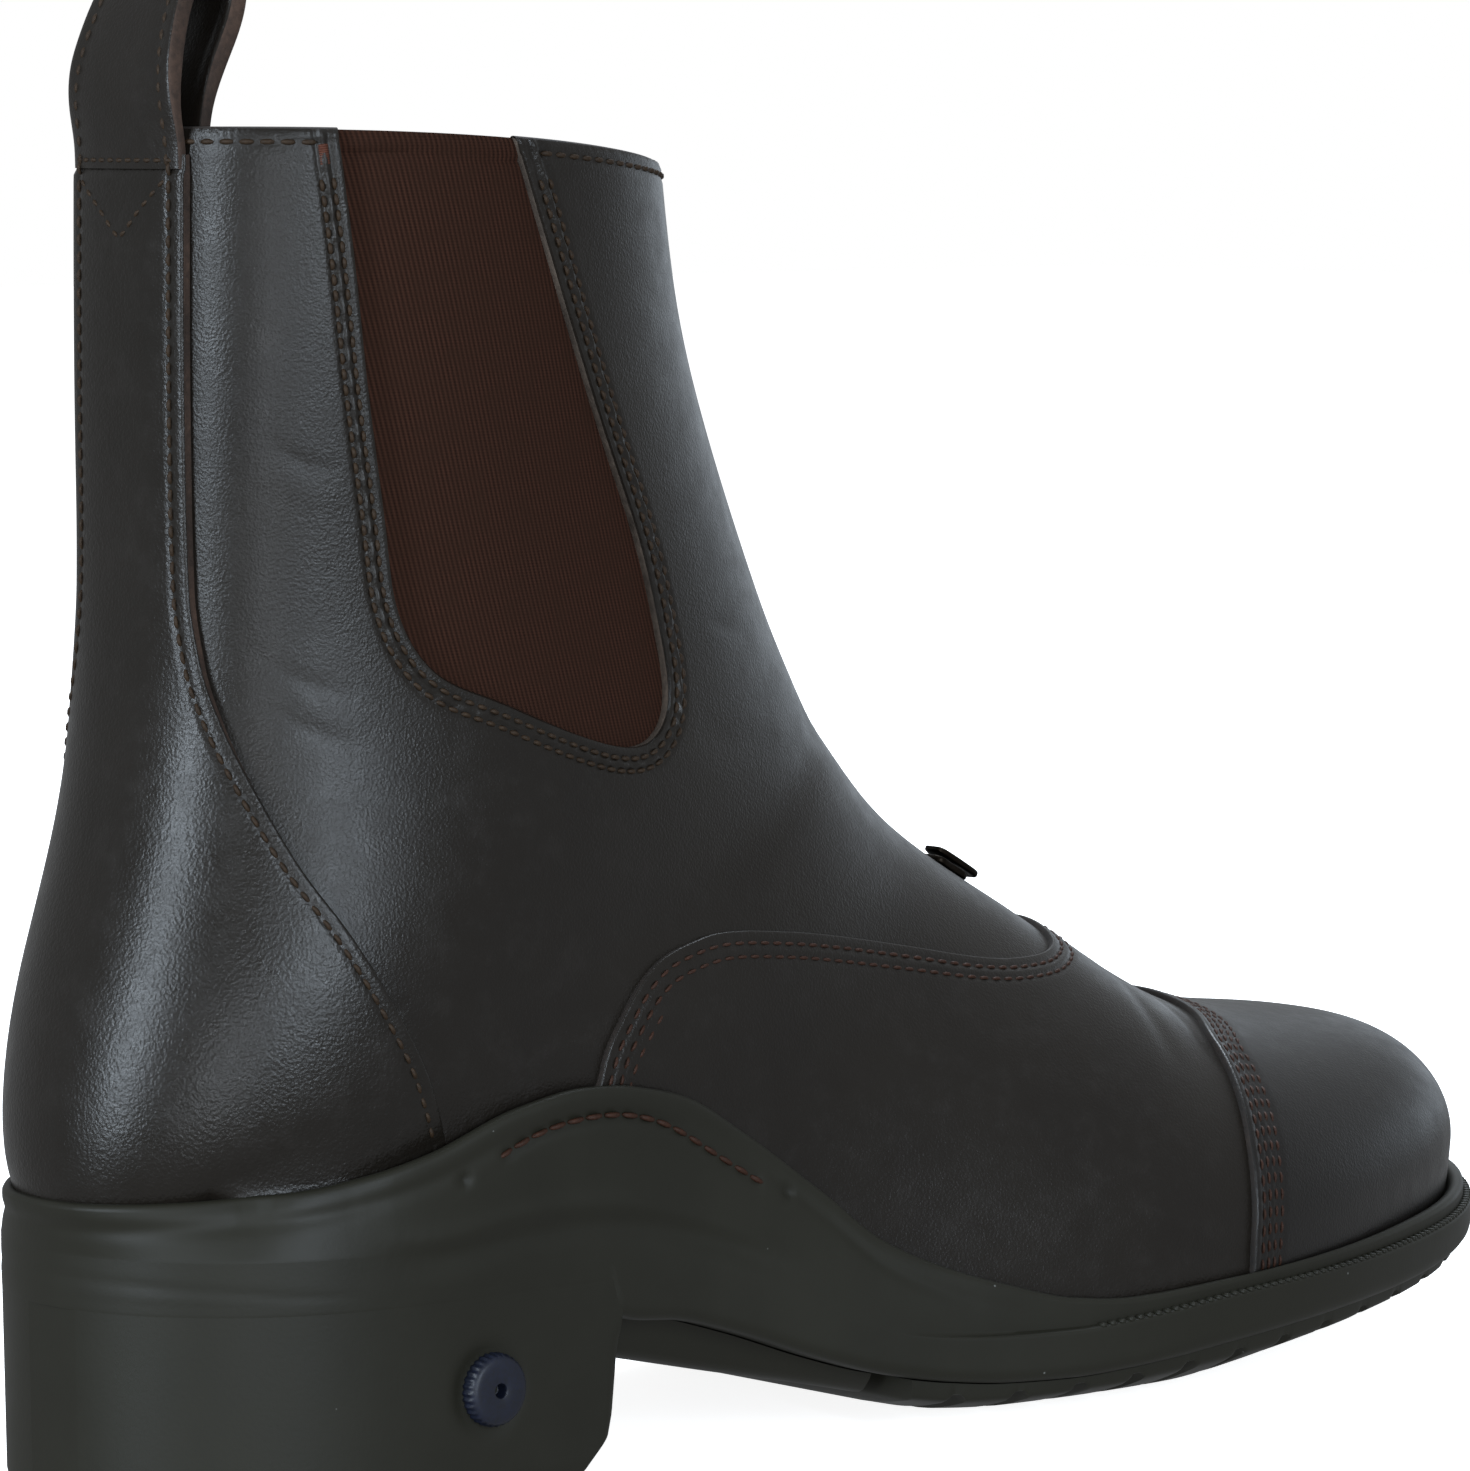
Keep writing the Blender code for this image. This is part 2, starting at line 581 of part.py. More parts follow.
def build_upper(material, cutters, collection):
    """Hollow upper in one: quarters, vamp and toe cap as steps of the outer face, open at collar and sole."""
    half = np.array([0, 0.09, 0.18, 0.25, 0.31, 0.35, 0.39, 0.425, 0.46, 0.50, 0.55, 0.61, 0.68, 0.74, 0.80, 0.86, 0.93, 1])
    v = np.concatenate([-half[:0:-1], half])
    cap, vamp = seam(CAP_EDGE, v), seam(VAMP_EDGE, v)
    nose = np.array([0, 0.05, 0.13, 0.25, 0.42, 0.62, 0.82, 1.0])
    rows, lift = [], []
    for s in nose:
        rows.append(cap * s)
        lift.append(VAMP_STEP + CAP_STEP)
    for s in np.linspace(0, 1, 8):
        rows.append(cap + (vamp - cap) * s)
        lift.append(VAMP_STEP)
    heel = (HEEL_U - vamp[0]) / (1 - vamp[0])
    for s in np.concatenate([heel * np.array([0, 0.3, 0.55, 0.74, 0.86, 0.95]), np.linspace(heel, 1, 13)]):
        rows.append(vamp + (1 - vamp) * s)
        lift.append(0.0)
    u = np.array(rows)
    outer = lifted(u, v[None, :], np.broadcast_to(np.array(lift)[:, None], u.shape))
    inner = lifted(u, v[None, :], np.full(u.shape, -WALL))
    ring = u[:, 0] >= HEEL_U - 1e-6
    for grid in (outer, inner):
        meet = (grid[ring, 0] + grid[ring, -1]) / 2
        grid[ring, 0] = grid[ring, -1] = meet
        grid[0] = (grid[0] + grid[0, ::-1]) / 2
    upper = shell_of(outer, inner, ring, material, collection)
    for cutter in cutters:
        boolean(upper, cutter, "DIFFERENCE")
    return upper


def shell_of(outer, inner, ring, material, collection):
    """Joins two grids along the sole edge and the collar; the back seam welds where the sections close."""
    rows, columns = outer.shape[:2]
    size = rows * columns
    faces = strips(rows, columns) + strips(rows, columns, size)
    for i in range(rows - 1):
        if not ring[i]:
            for j in (0, columns - 1):
                a, b = i * columns + j, (i + 1) * columns + j
                faces.append((a, b, size + b, size + a))
    last = (rows - 1) * columns
    for j in range(columns - 1):
        faces.append((last + j, last + j + 1, size + last + j + 1, size + last + j))
    return new_object("upper", np.concatenate([outer.reshape(-1, 3), inner.reshape(-1, 3)]), faces, material, collection)


def window(shrink):
    """Side outline of a gusset window, made smaller by shrink."""
    z, rear, front = GUSSET.T
    z = z.copy()
    z[0] += shrink
    return np.concatenate([np.column_stack([rear + shrink, z]), np.column_stack([front - shrink, z])[::-1]])


def build_gusset(name, side, material, helpers, collection):
    """Elastic panel that fills its window with a small clearance."""
    u = np.linspace(0.66, 1.0, 12)[:, None]
    v = side * np.linspace(0.80, 0.28, 9)[None, :]
    flat = np.zeros((12, 9))
    panel = sheet_solid(name, lifted(u, v, flat - ELASTIC_SUNK), lifted(u, v, flat - ELASTIC_SUNK - ELASTIC),
                        material, collection)
    low, high = sorted((side * 4.0, side * 48.0))
    boolean(panel, prism(name + "_trim", window(0.3), low, high, helpers), "INTERSECT")
    return panel


def ridge_place(u, width, side):
    """Place across the section where the skin is the given width from the middle plane, near the ridge."""
    low, high = np.zeros(np.shape(u)), np.full(np.shape(u), 0.6)
    for _ in range(40):
        mid = (low + high) / 2
        wide = np.abs(skin(u, side * mid)[..., 1]) > width
        low, high = np.where(wide, low, mid), np.where(wide, mid, high)
    return side * (low + high) / 2


def strap_half(z):
    """Half girth of the counter at a height: flared below, a plain strap above."""
    return smooth(COUNTER_EDGE[:, 0], COUNTER_EDGE[:, 1], z)


def build_counter(material, collection):
    """Counter and back strap in one: rows up the back, each measured out from the back line."""
    heights = np.concatenate([np.linspace(0, 0.45, 11), np.linspace(0.45, 1, 10)[1:]])
    across = np.linspace(-1, 1, 19)
    places = np.array([[counter_place(h, s) for s in across] for h in heights])
    u, v = places[..., 0], places[..., 1]
    outer = lifted(u, v, np.full(u.shape, COUNTER_GAP + OVERLAY))
    inner = lifted(u, v, np.full(u.shape, COUNTER_GAP))
    return sheet_solid("counter", outer, inner, material, collection)


def counter_place(h, s):
    """Fan coordinates of the counter at height fraction h and fraction s of its half girth, lateral below nought."""
    side = LATERAL if s < 0 else MEDIAL
    z = 60.0 + 120.0 * h
    for _ in range(14):
        u, v = locate(abs(s) * float(strap_half(np.array(z))), z, side)
        bottom = float(smooth(SOLE_LEVELS[:, 0], SOLE_LEVELS[:, 3], skin(u, v)[0])) + 2 * GAP
        z = bottom + (STRAP_TOP - bottom) * h
    return u, v


def locate(out, z, side):
    """Fan coordinates of the skin point at a height and a distance round from the back line."""
    line = contour_side(z, side)
    girth = np.concatenate([[0], np.cumsum(np.hypot(*np.diff(line[:, :2], axis=0).T))])
    u = np.interp(out, girth, line[:, 2])
    v = np.interp(out, girth, line[:, 3])
    return u, v


def contour_side(z, side):
    """Skin points at one height from the back line forward: x, y and the fan coordinates."""
    u = np.linspace(0.3, 1, 900)
    base_z, top_z, at = (spline(KNOTS, FAN[:, k], u) for k in (1, 3, 7))
    base_x, top_x = (spline(KNOTS, FAN[:, k], u) for k in (0, 2))
    a = (z - base_z) / (top_z - base_z)
    keep = (a >= 0) & (a <= 1)
    u, a, at, base_x, top_x = (column[keep] for column in (u, a, at, base_x, top_x))
    split = 0.12 + 0.75 * at
    low = np.arccos(np.clip(1 - a / at, 0, 1)) / (np.pi / 2) * split
    high = split + np.arcsin(np.clip((a - at) / (1 - at), 0, 1)) / (np.pi / 2) * (1 - split)
    v = side * (1 - np.where(a < at, low, high))
    table = np.column_stack([base_x + a * (top_x - base_x), width_along(u, a, side), u, v])[::-1]
    start = spline(KNOTS, FAN[:, 1], np.linspace(HEEL_U, 1, 400))
    u_back = np.interp(z, start, np.linspace(HEEL_U, 1, 400))
    first = [spline(KNOTS, FAN[:, 0], u_back), 0.0, u_back, float(side)]
    return np.concatenate([[first], table])


def build_zip_side(label, side, materials, collection):
    """One half of the open zip: woven tape behind the facing and its row of teeth in the slit."""
    u = np.linspace(SLIDER_U - 0.012, 0.992, 18)[:, None]
    made = []
    for name, widths, lift, thick, material in (
            ("zip_tape_", (1.3, 4.0, 8.0, 12.0), -WALL - 0.8, 0.8, materials["zip_tape"]),
            ("zip_teeth_", (0.5, 2.7), -0.35, 1.5, materials["zip_metal"])):
        v = np.concatenate([ridge_place(u, w, side) for w in widths], axis=1)
        grid = np.broadcast_to(u, v.shape)
        level = np.full(v.shape, lift)
        made.append(sheet_solid(name + label, lifted(grid, v, level), lifted(grid, v, level - thick), material, collection))
    return made


def ridge_frame():
    """Place on the ridge at the slider, with the down-slope and upright directions in the middle plane."""
    centre = skin(SLIDER_U, 0.0)
    upright = normal(SLIDER_U, 0.0)
    upright = np.array([upright[0], 0.0, upright[2]])
    upright /= np.linalg.norm(upright)
    return centre, np.array([upright[2], 0.0, -upright[0]]), upright


def bevelled_box(name, origin, axes, low, high, bevel, material, collection):
    """Box in a tilted frame, its edges rounded by a Bevel."""
    corners = [(i, j, k) for i in (0, 1) for j in (0, 1) for k in (0, 1)]
    points = [origin + sum(axis * (lo + (hi - lo) * c) for axis, lo, hi, c in zip(axes, low, high, corner))
              for corner in corners]
    faces = [(0, 1, 3, 2), (4, 6, 7, 5), (0, 4, 5, 1), (2, 3, 7, 6), (0, 2, 6, 4), (1, 5, 7, 3)]
    obj = new_object(name, points, faces, material, collection)
    soft = obj.modifiers.new("rounded edges", "BEVEL")
    soft.width, soft.segments, soft.limit_method = bevel * MM, 2, "NONE"
    return obj


def build_slider(materials, collection):
    """Slider body on the teeth and its pull tab, lying down-slope over it from a knuckle at the upper end."""
    centre, down, up = ridge_frame()
    across = np.array([0.0, 1.0, 0.0])
    axes = (down, across, up)
    half = SLIDER_WIDTH / 2
    slider = bevelled_box("zip_slider", centre, axes, (-SLIDER_LENGTH / 2, -half, 0.0),
                          (SLIDER_LENGTH / 2, half, SLIDER_HEIGHT - 0.8), 0.5, materials["zip_metal"], collection)
    tab = bevelled_box("zip_pull", centre, axes, (-SLIDER_LENGTH / 2, -TAB_WIDTH / 2, SLIDER_HEIGHT - 0.5),
                       (TAB_LENGTH - SLIDER_LENGTH / 2, TAB_WIDTH / 2, SLIDER_HEIGHT - 0.5 + TAB_THICK), 0.35,
                       materials["zip_metal"], collection)
    return slider, tab


def build_loop(material, collection):
    """Pull loop: a strap swept along its middle line in the back plane."""
    along = np.arange(len(LOOP_LINE))
    at = np.linspace(0, along[-1], 34)
    x, z, half = (spline(along, LOOP_LINE[:, k], at) for k in range(3))
    dx, dz = np.gradient(x), np.gradient(z)
    size = np.hypot(dx, dz)
    side = np.column_stack([-dz / size, dx / size])
    faces_at = []
    for sign in (1, -1):
        edge = np.column_stack([x, z]) + sign * LOOP_THICK / 2 * side
        faces_at.append(np.stack([np.column_stack([edge[:, 0], w * half, edge[:, 1]]) for w in (-1, -0.5, 0.5, 1)], 1))
    return sheet_solid("pull_loop", faces_at[0], faces_at[1], material, collection)


def build_plug(material, helpers, heel, collection):
    """Round plug let into the lateral side of the heel, with a small centre hole."""
    points, _ = edge_stations(np.array([PLUG_X]), LATERAL)
    face = float(points[0, 1]) + 0.4
    seat = cylinder("plug_seat", PLUG_RADIUS + 0.3, face - 6.0, face + 6.0, 24, None, helpers)
    seat.hide_render, seat.display_type = True, "WIRE"
    boolean(heel, seat, "DIFFERENCE")
    plug = cylinder("heel_plug", PLUG_RADIUS, face - PLUG_PROUD, face + 5.6, 24, material, collection)
    hole = cylinder("plug_hole", PLUG_HOLE, face - PLUG_PROUD - 2.0, face - PLUG_PROUD + 2.2, 12, None, helpers)
    hole.hide_render, hole.display_type = True, "WIRE"
    boolean(plug, hole, "DIFFERENCE")
    return plug


def cylinder(name, radius, low, high, count, material, collection):
    """Closed cylinder along Y at the plug's place."""
    turn = np.linspace(0, 2 * np.pi, count, endpoint=False)
    rim = np.column_stack([PLUG_X + radius * np.cos(turn), PLUG_Z + radius * np.sin(turn)])
    points = np.concatenate([np.insert(rim, 1, y, axis=1) for y in (low, high)])
    faces = strips(2, count, closed=True) + [tuple(range(count)), tuple(range(2 * count - 1, count - 1, -1))]
    return new_object(name, points, faces, material, collection)


def slit_outline():
    """Side outline of the cut that opens the front from the slider up through the collar."""
    u = np.linspace(SLIDER_U - 0.018, 1.0, 16)
    line, way = skin(u, 0.0), normal(u, 0.0)
    out, into = line + 7.0 * way, line - 9.0 * way
    top = np.array([[0, 0, 14.0]])
    out, into = np.concatenate([out, out[-1:] + top]), np.concatenate([into, into[-1:] + top])
    return np.concatenate([out, into[::-1]])[:, [0, 2]]


def make_materials():
    made = {}
    for name, (colour, roughness, metallic) in MATERIALS.items():
        material = bpy.data.materials.new(name)
        material.use_nodes = True
        shader = material.node_tree.nodes["Principled BSDF"]
        shader.inputs["Base Color"].default_value = (*colour, 1.0)
        shader.inputs["Roughness"].default_value = roughness
        shader.inputs["Metallic"].default_value = metallic
        made[name] = material
    return made


def stand_on_origin(collections):
    """Moves the whole boot so that its box stands on z = 0, centred on the origin."""
    bpy.context.view_layer.update()
    graph = bpy.context.evaluated_depsgraph_get()
    points = []
    for obj in collections[0].objects:
        mesh = obj.evaluated_get(graph).to_mesh()
        points += [tuple(v.co) for v in mesh.vertices]
        obj.evaluated_get(graph).to_mesh_clear()
    low, high = np.min(points, axis=0), np.max(points, axis=0)
    shift = (-(low[0] + high[0]) / 2, -(low[1] + high[1]) / 2, -low[2])
    for collection in collections:
        for obj in collection.objects:
            obj.location = shift
    print("moved by", [round(s / MM, 3) for s in shift], "size", [round(s / MM, 2) for s in high - low])


def main():
    for obj in list(bpy.data.objects):
        bpy.data.objects.remove(obj, do_unlink=True)
    parts = bpy.data.collections.new("jodhpur_boot")
    helpers = bpy.data.collections.new("cutters")
    for collection in (parts, helpers):
        bpy.context.scene.collection.children.link(collection)
    materials = make_materials()
    build_sole(materials["rubber"], parts)
    heel = build_heel(materials["rubber"], parts)
    build_tread(materials["rubber"], parts)
    build_waist(materials["rubber"], parts)
    build_plug(materials["plug"], helpers, heel, parts)
    build_insole(materials["insole"], parts)
    cutters = [prism("window_lateral", window(0.0), -60.0, -6.0, helpers),
               prism("window_medial", window(0.0), 6.0, 60.0, helpers),
               prism("slit", slit_outline(), -SLIT, SLIT, helpers)]
    build_upper(materials["leather"], cutters, parts)
    build_gusset("gusset_lateral", LATERAL, materials["elastic"], helpers, parts)
    build_gusset("gusset_medial", MEDIAL, materials["elastic"], helpers, parts)
    build_counter(materials["leather"], parts)
    build_loop(materials["leather"], parts)
    build_zip_side("lateral", LATERAL, materials, parts)
    build_zip_side("medial", MEDIAL, materials, parts)
    build_slider(materials, parts)
    stand_on_origin((parts, helpers))


if __name__ == "__main__":
    main()
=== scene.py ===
"""Looks of a zip-front jodhpur boot for the right foot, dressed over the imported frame.

The tables are in millimetres with the back of the heel at x = 0 and the toe along +X, the inner side of
the foot along +Y. ORIGIN carries them to the row frame, and every finished mesh is in metres there.
"""

import bmesh
import bpy
import numpy as np
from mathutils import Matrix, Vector


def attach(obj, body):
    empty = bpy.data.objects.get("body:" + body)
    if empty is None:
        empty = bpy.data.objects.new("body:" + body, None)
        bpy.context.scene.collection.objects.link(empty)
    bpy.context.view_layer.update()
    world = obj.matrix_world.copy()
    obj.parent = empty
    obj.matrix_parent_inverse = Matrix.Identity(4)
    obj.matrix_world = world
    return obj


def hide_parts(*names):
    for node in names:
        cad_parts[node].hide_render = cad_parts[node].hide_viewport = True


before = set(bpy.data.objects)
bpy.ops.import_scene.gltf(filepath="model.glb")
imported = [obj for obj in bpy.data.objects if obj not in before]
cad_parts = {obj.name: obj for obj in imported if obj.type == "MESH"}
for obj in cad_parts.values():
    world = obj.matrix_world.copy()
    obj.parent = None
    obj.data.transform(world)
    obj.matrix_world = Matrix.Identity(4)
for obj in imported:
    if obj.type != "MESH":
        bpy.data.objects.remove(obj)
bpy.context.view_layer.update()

MM = 0.001
ORIGIN = np.array([-141.327, -1.083, 0.0])
LATERAL, MEDIAL = -1, 1

# Leather, elastic and rubber
VAMP_STEP, CAP_STEP = 1.0, 1.0       # vamp over the quarters, cap over the vamp
COUNTER_STEP = 1.9                   # back strap over the quarters; the counter thins to its foot
SUBSTANCE = 1.9                      # leather with its lining
COLLAR_BOW = 1.6                     # rise of the collar line at mid length
SLIT = 3.2                           # half width of the front opening
SLIDER_U = 0.3935                    # place of the zip's slider along the fan
HEEL_TOP, HEEL_LENGTH, BREAST_LEAN = 28.0, 76.4, 2.4
LEDGE, RIM = 1.3, 2.2                # moulded welt set back from the edge, rubber lip at the rim
PLUG_X, PLUG_Z, PLUG_RADIUS = 52.0, 15.0, 5.2

OUTLINE = np.array([
    # x      lateral medial
    (2.5, 13.0, 13.0), (9.5, 23.5, 23.5), (20.0, 31.0, 31.0), (35.0, 34.8, 34.5), (58.0, 35.2, 34.0),
    (82.0, 36.0, 32.5), (108.0, 38.8, 32.5), (135.0, 43.5, 36.5), (162.0, 48.2, 44.5), (188.0, 49.6, 50.0),
    (212.0, 47.4, 51.8), (235.0, 41.8, 50.0), (255.0, 33.5, 45.0), (270.0, 23.0, 36.8), (280.0, 11.0, 26.0),
])
TIP_X, TIP_Y = 285.5, 8.0
SOLE_LEVELS = np.array([
    # x     under  step   rim
    (0.0, 28.4, 36.0, 43.6), (12.0, 28.4, 36.0, 44.6), (25.0, 28.4, 36.0, 46.0), (41.0, 28.4, 36.0, 49.4),
    (57.0, 28.4, 36.0, 54.7), (69.0, 28.4, 36.0, 56.5), (76.9, 28.4, 35.0, 56.1), (77.5, 23.2, 34.8, 56.0),
    (88.0, 20.8, 31.0, 53.6), (100.0, 17.2, 26.0, 47.0), (114.0, 12.2, 19.5, 37.1), (124.0, 9.2, 15.8, 29.2),
    (135.0, 7.2, 14.2, 24.1), (145.0, 6.2, 13.6, 20.9), (157.0, 5.9, 13.4, 17.9), (168.0, 6.4, 14.0, 17.0),
    (190.0, 8.2, 15.7, 17.9), (215.0, 9.9, 16.8, 19.2), (238.0, 11.3, 18.0, 20.6), (262.0, 13.4, 19.4, 22.0),
    (285.5, 15.6, 21.6, 24.4),
])
TREAD_LEVELS = np.array([
    # x     middle edge
    (127.0, 3.2, 5.2), (140.0, 0.6, 3.6), (150.0, 0.0, 3.4), (162.0, 0.0, 3.7), (185.0, 0.0, 5.0),
    (205.0, 1.8, 6.4), (230.0, 5.2, 8.3), (255.0, 8.6, 10.4), (281.0, 12.2, 12.8),
])
# Fan of sections of the last, from the toe tip over the heel to the collar
FAN = np.array([
    # base_x base_z top_x  top_z  top_y out_l out_m at   back  crown
    (276.6, 21.0, 277.2, 28.0, 8.0, 0.0, 0.0, 0.40, 2.0, 2.0),
    (273.6, 20.5, 274.8, 36.2, 7.6, 0.8, 0.8, 0.40, 2.0, 2.1),
    (266.0, 19.5, 268.4, 43.6, 6.8, 1.2, 1.2, 0.40, 2.0, 2.2),
    (254.5, 18.0, 258.0, 47.4, 5.8, 1.2, 1.2, 0.38, 2.0, 2.25),
    (237.0, 16.0, 242.0, 49.6, 4.4, 0.8, 0.8, 0.34, 2.0, 2.2),
    (214.0, 14.0, 222.0, 52.6, 2.8, 0.4, 0.4, 0.28, 2.0, 2.05),
    (190.0, 13.0, 206.5, 57.8, 1.4, 0.2, 0.2, 0.24, 2.0, 1.9),
    (165.0, 13.0, 193.6, 65.0, 0.6, 0.4, 0.4, 0.24, 2.0, 1.8),
    (140.0, 14.5, 181.8, 72.6, 0.0, 0.6, 0.8, 0.26, 2.0, 1.75),
    (115.0, 20.0, 169.3, 79.8, 0.0, 0.0, 1.6, 0.30, 2.0, 1.75),
    (90.0, 29.0, 158.0, 86.9, 0.0, 0.0, 2.2, 0.32, 2.0, 1.8),
    (62.0, 36.0, 149.4, 94.3, 0.0, 1.7, 2.0, 0.34, 2.0, 1.85),
    (36.0, 38.0, 143.2, 101.4, 0.0, 2.5, 2.5, 0.34, 2.0, 1.9),
    (15.0, 38.0, 139.4, 106.6, 0.0, 10.2, 10.1, 0.35, 2.0, 1.95),
    (3.4, 38.0, 136.0, 112.2, 0.0, 33.0, 32.6, 0.36, 2.0, 2.0),
    (0.2, 56.0, 131.4, 120.3, 0.0, 33.2, 32.8, 0.37, 2.1, 2.0),
    (5.4, 77.0, 127.1, 128.9, 0.0, 32.0, 31.6, 0.40, 2.25, 2.0),
    (11.8, 97.0, 122.3, 139.4, 0.0, 30.6, 30.2, 0.43, 2.5, 2.0),
    (15.0, 120.0, 117.0, 152.0, 0.0, 29.8, 29.4, 0.45, 2.8, 2.0),
    (15.4, 150.0, 111.8, 166.6, 0.0, 30.2, 29.8, 0.46, 3.0, 2.0),
    (15.7, 193.0, 107.6, 187.0, 0.0, 31.0, 30.6, 0.47, 3.0, 2.0),
])
HEEL_ROW = 14
UPPER_INSET, TOE_INSET = 4.6, 7.0
# Seam lines across the sections: place across, 0 ridge to 1 base, against place along the fan
VAMP_EDGE = np.array([
    (0.00, 0.327), (0.18, 0.340), (0.25, 0.357), (0.31, 0.389), (0.38, 0.464), (0.44, 0.548),
    (0.475, 0.594), (0.51, 0.607), (0.59, 0.590), (0.66, 0.568), (0.80, 0.550), (1.00, 0.545),
])
CAP_EDGE = np.array([(0.00, 0.206), (0.17, 0.218), (0.31, 0.238), (0.52, 0.243), (0.78, 0.233), (1.00, 0.225)])
# Half girth of the counter and back strap against height
COUNTER_EDGE = np.array([
    (43.0, 64.5), (50.6, 62.3), (60.0, 58.0), (71.6, 49.2), (80.3, 41.2), (90.0, 31.4),
    (100.0, 23.6), (110.0, 17.6), (118.0, 14.4), (129.0, 12.5), (142.0, 12.2), (196.0, 12.2),
])
STRAP_TOP = 189.4
# Border of a gusset window seen from the side, from the rear of the collar down and up to its front
WINDOW = np.array([
    # x    z
    (30.4, 206.0), (32.4, 190.0), (34.5, 174.0), (36.5, 157.0), (38.3, 145.0), (39.8, 134.6), (41.2, 126.0),
    (44.0, 120.0), (47.2, 116.6), (55.5, 112.9), (66.4, 108.7), (75.6, 105.6), (82.0, 104.3), (88.0, 105.0),
    (91.6, 108.4), (92.4, 112.9), (91.3, 120.0), (89.9, 126.0), (87.1, 134.6), (82.2, 145.0), (76.2, 157.0),
    (68.3, 174.0), (61.4, 190.0), (54.6, 206.0),
])
LOOP_LINE = np.array([
    # x     z      half
    (14.3, 184.3, 12.2), (14.2, 190.0, 12.2), (13.9, 196.0, 12.0), (15.0, 203.0, 11.2), (17.6, 210.5, 10.0),
    (21.6, 216.2, 9.4), (26.2, 217.0, 9.4), (28.2, 212.4, 9.8), (25.6, 205.4, 10.6), (21.4, 198.2, 11.2),
    (19.2, 191.0, 11.4), (18.9, 180.0, 11.4),
])


def spline(knots, values, at):
    """Natural cubic spline through the values at the knots."""
    knots, values, at = (np.asarray(a, float) for a in (knots, values, at))
    step, count = np.diff(knots), len(knots)
    matrix, right = np.eye(count), np.zeros(count)
    i = np.arange(1, count - 1)
    matrix[i, i - 1], matrix[i, i], matrix[i, i + 1] = step[:-1], 2 * (step[:-1] + step[1:]), step[1:]
    slope = np.diff(values) / step
    right[i] = 6 * (slope[1:] - slope[:-1])
    bend = np.linalg.solve(matrix, right)
    k = np.clip(np.searchsorted(knots, at, side="right") - 1, 0, count - 2)
    p, q = (knots[k + 1] - at) / step[k], (at - knots[k]) / step[k]
    curve = ((p ** 3 - p) * bend[k] + (q ** 3 - q) * bend[k + 1]) * step[k] ** 2 / 6
    return p * values[k] + q * values[k + 1] + curve


def smooth(xs, ys, at):
    """Monotone cubic through the points, level beyond them."""
    xs, ys = np.asarray(xs, float), np.asarray(ys, float)
    step = np.diff(xs)
    slope = np.diff(ys) / step
    before, after = slope[:-1], slope[1:]
    w1, w2 = 2 * step[1:] + step[:-1], step[1:] + 2 * step[:-1]
    alike = before * after > 0
    under = np.where(alike, w1 * after + w2 * before, 1.0)
    tangent = np.concatenate([slope[:1], np.where(alike, (w1 + w2) * before * after / under, 0.0), slope[-1:]])
    at = np.clip(np.asarray(at, float), xs[0], xs[-1])
    k = np.clip(np.searchsorted(xs, at, side="right") - 1, 0, len(xs) - 2)
    t, h = (at - xs[k]) / step[k], step[k]
    return ((1 + 2 * t) * (1 - t) ** 2 * ys[k] + t * (1 - t) ** 2 * h * tangent[k]
            + t * t * (3 - 2 * t) * ys[k + 1] + t * t * (t - 1) * h * tangent[k + 1])


def blend(x, start, end):
    """Soft step from 0 at start to 1 at end."""
    t = np.clip((np.asarray(x, float) - start) / (end - start), 0, 1)
    return t * t * (3 - 2 * t)


def bump(x, centre, width):
    """Bell of height 1 at the centre, its width the half width at 1/e."""
    return np.exp(-((np.asarray(x, float) - centre) / width) ** 2)


def unit(vectors):
    return vectors / np.maximum(np.linalg.norm(vectors, axis=-1, keepdims=True), 1e-12)


def sole_loop(count=1600):
    """Closed plan curve of the sole edge, from the heel back along the lateral side, with inward normals."""
    x, lateral, medial = OUTLINE.T
    px = np.tile(np.concatenate([[0], x, [TIP_X], x[::-1]]), 3)
    py = np.tile(np.concatenate([[0], -lateral, [TIP_Y], medial[::-1]]), 3)
    along = np.concatenate([[0], np.cumsum(np.hypot(np.diff(px), np.diff(py)))])
    third = len(px) // 3
    at = np.linspace(along[third], along[2 * third], count, endpoint=False)
    curve = np.stack([spline(along, px, at), spline(along, py, at)], 1)
    tangent = unit(np.roll(curve, -1, 0) - np.roll(curve, 1, 0))
    return curve, np.stack([-tangent[:, 1], tangent[:, 0]], 1)


EDGE, INWARD = sole_loop()
TIP_INDEX = int(np.argmax(EDGE[:, 0]))


def inset_half(inset, side):
    """x and y of the sole edge moved inward on one side, in order of x."""
    lateral = np.arange(0, TIP_INDEX + 1)
    medial = np.concatenate([[0], np.arange(len(EDGE) - 1, TIP_INDEX - 1, -1)])
    index = lateral if side == LATERAL else medial
    moved = EDGE[index] + inset * INWARD[index]
    return moved[np.argsort(moved[:, 0], kind="stable")]


BASE_LINES = {side: (inset_half(UPPER_INSET, side), inset_half(TOE_INSET, side)) for side in (LATERAL, MEDIAL)}
MOVES = np.sqrt((np.diff(FAN[:, :4], axis=0) ** 2).sum(1))
KNOTS = np.concatenate([[0], np.cumsum(MOVES)]) / MOVES.sum()
HEEL_U = KNOTS[HEEL_ROW]


def base_width(u, side):
    """Distance of the section's base from the middle plane; nothing from the heel row on."""
    x = spline(KNOTS, FAN[:, 0], u)
    heel, toe = (side * np.interp(x, line[:, 0], line[:, 1]) for line in BASE_LINES[side])
    mix = blend(x, 190, 262)
    return np.where(u >= HEEL_U - 1e-9, 0.0, heel * (1 - mix) + toe * mix)


def bellies(side):
    """Greatest distance of each section from the middle plane on one side."""
    out = FAN[:, 5 if side == LATERAL else 6].copy()
    out[:HEEL_ROW] += base_width(KNOTS[:HEEL_ROW], side)
    return out


BELLY = {side: bellies(side) for side in (LATERAL, MEDIAL)}


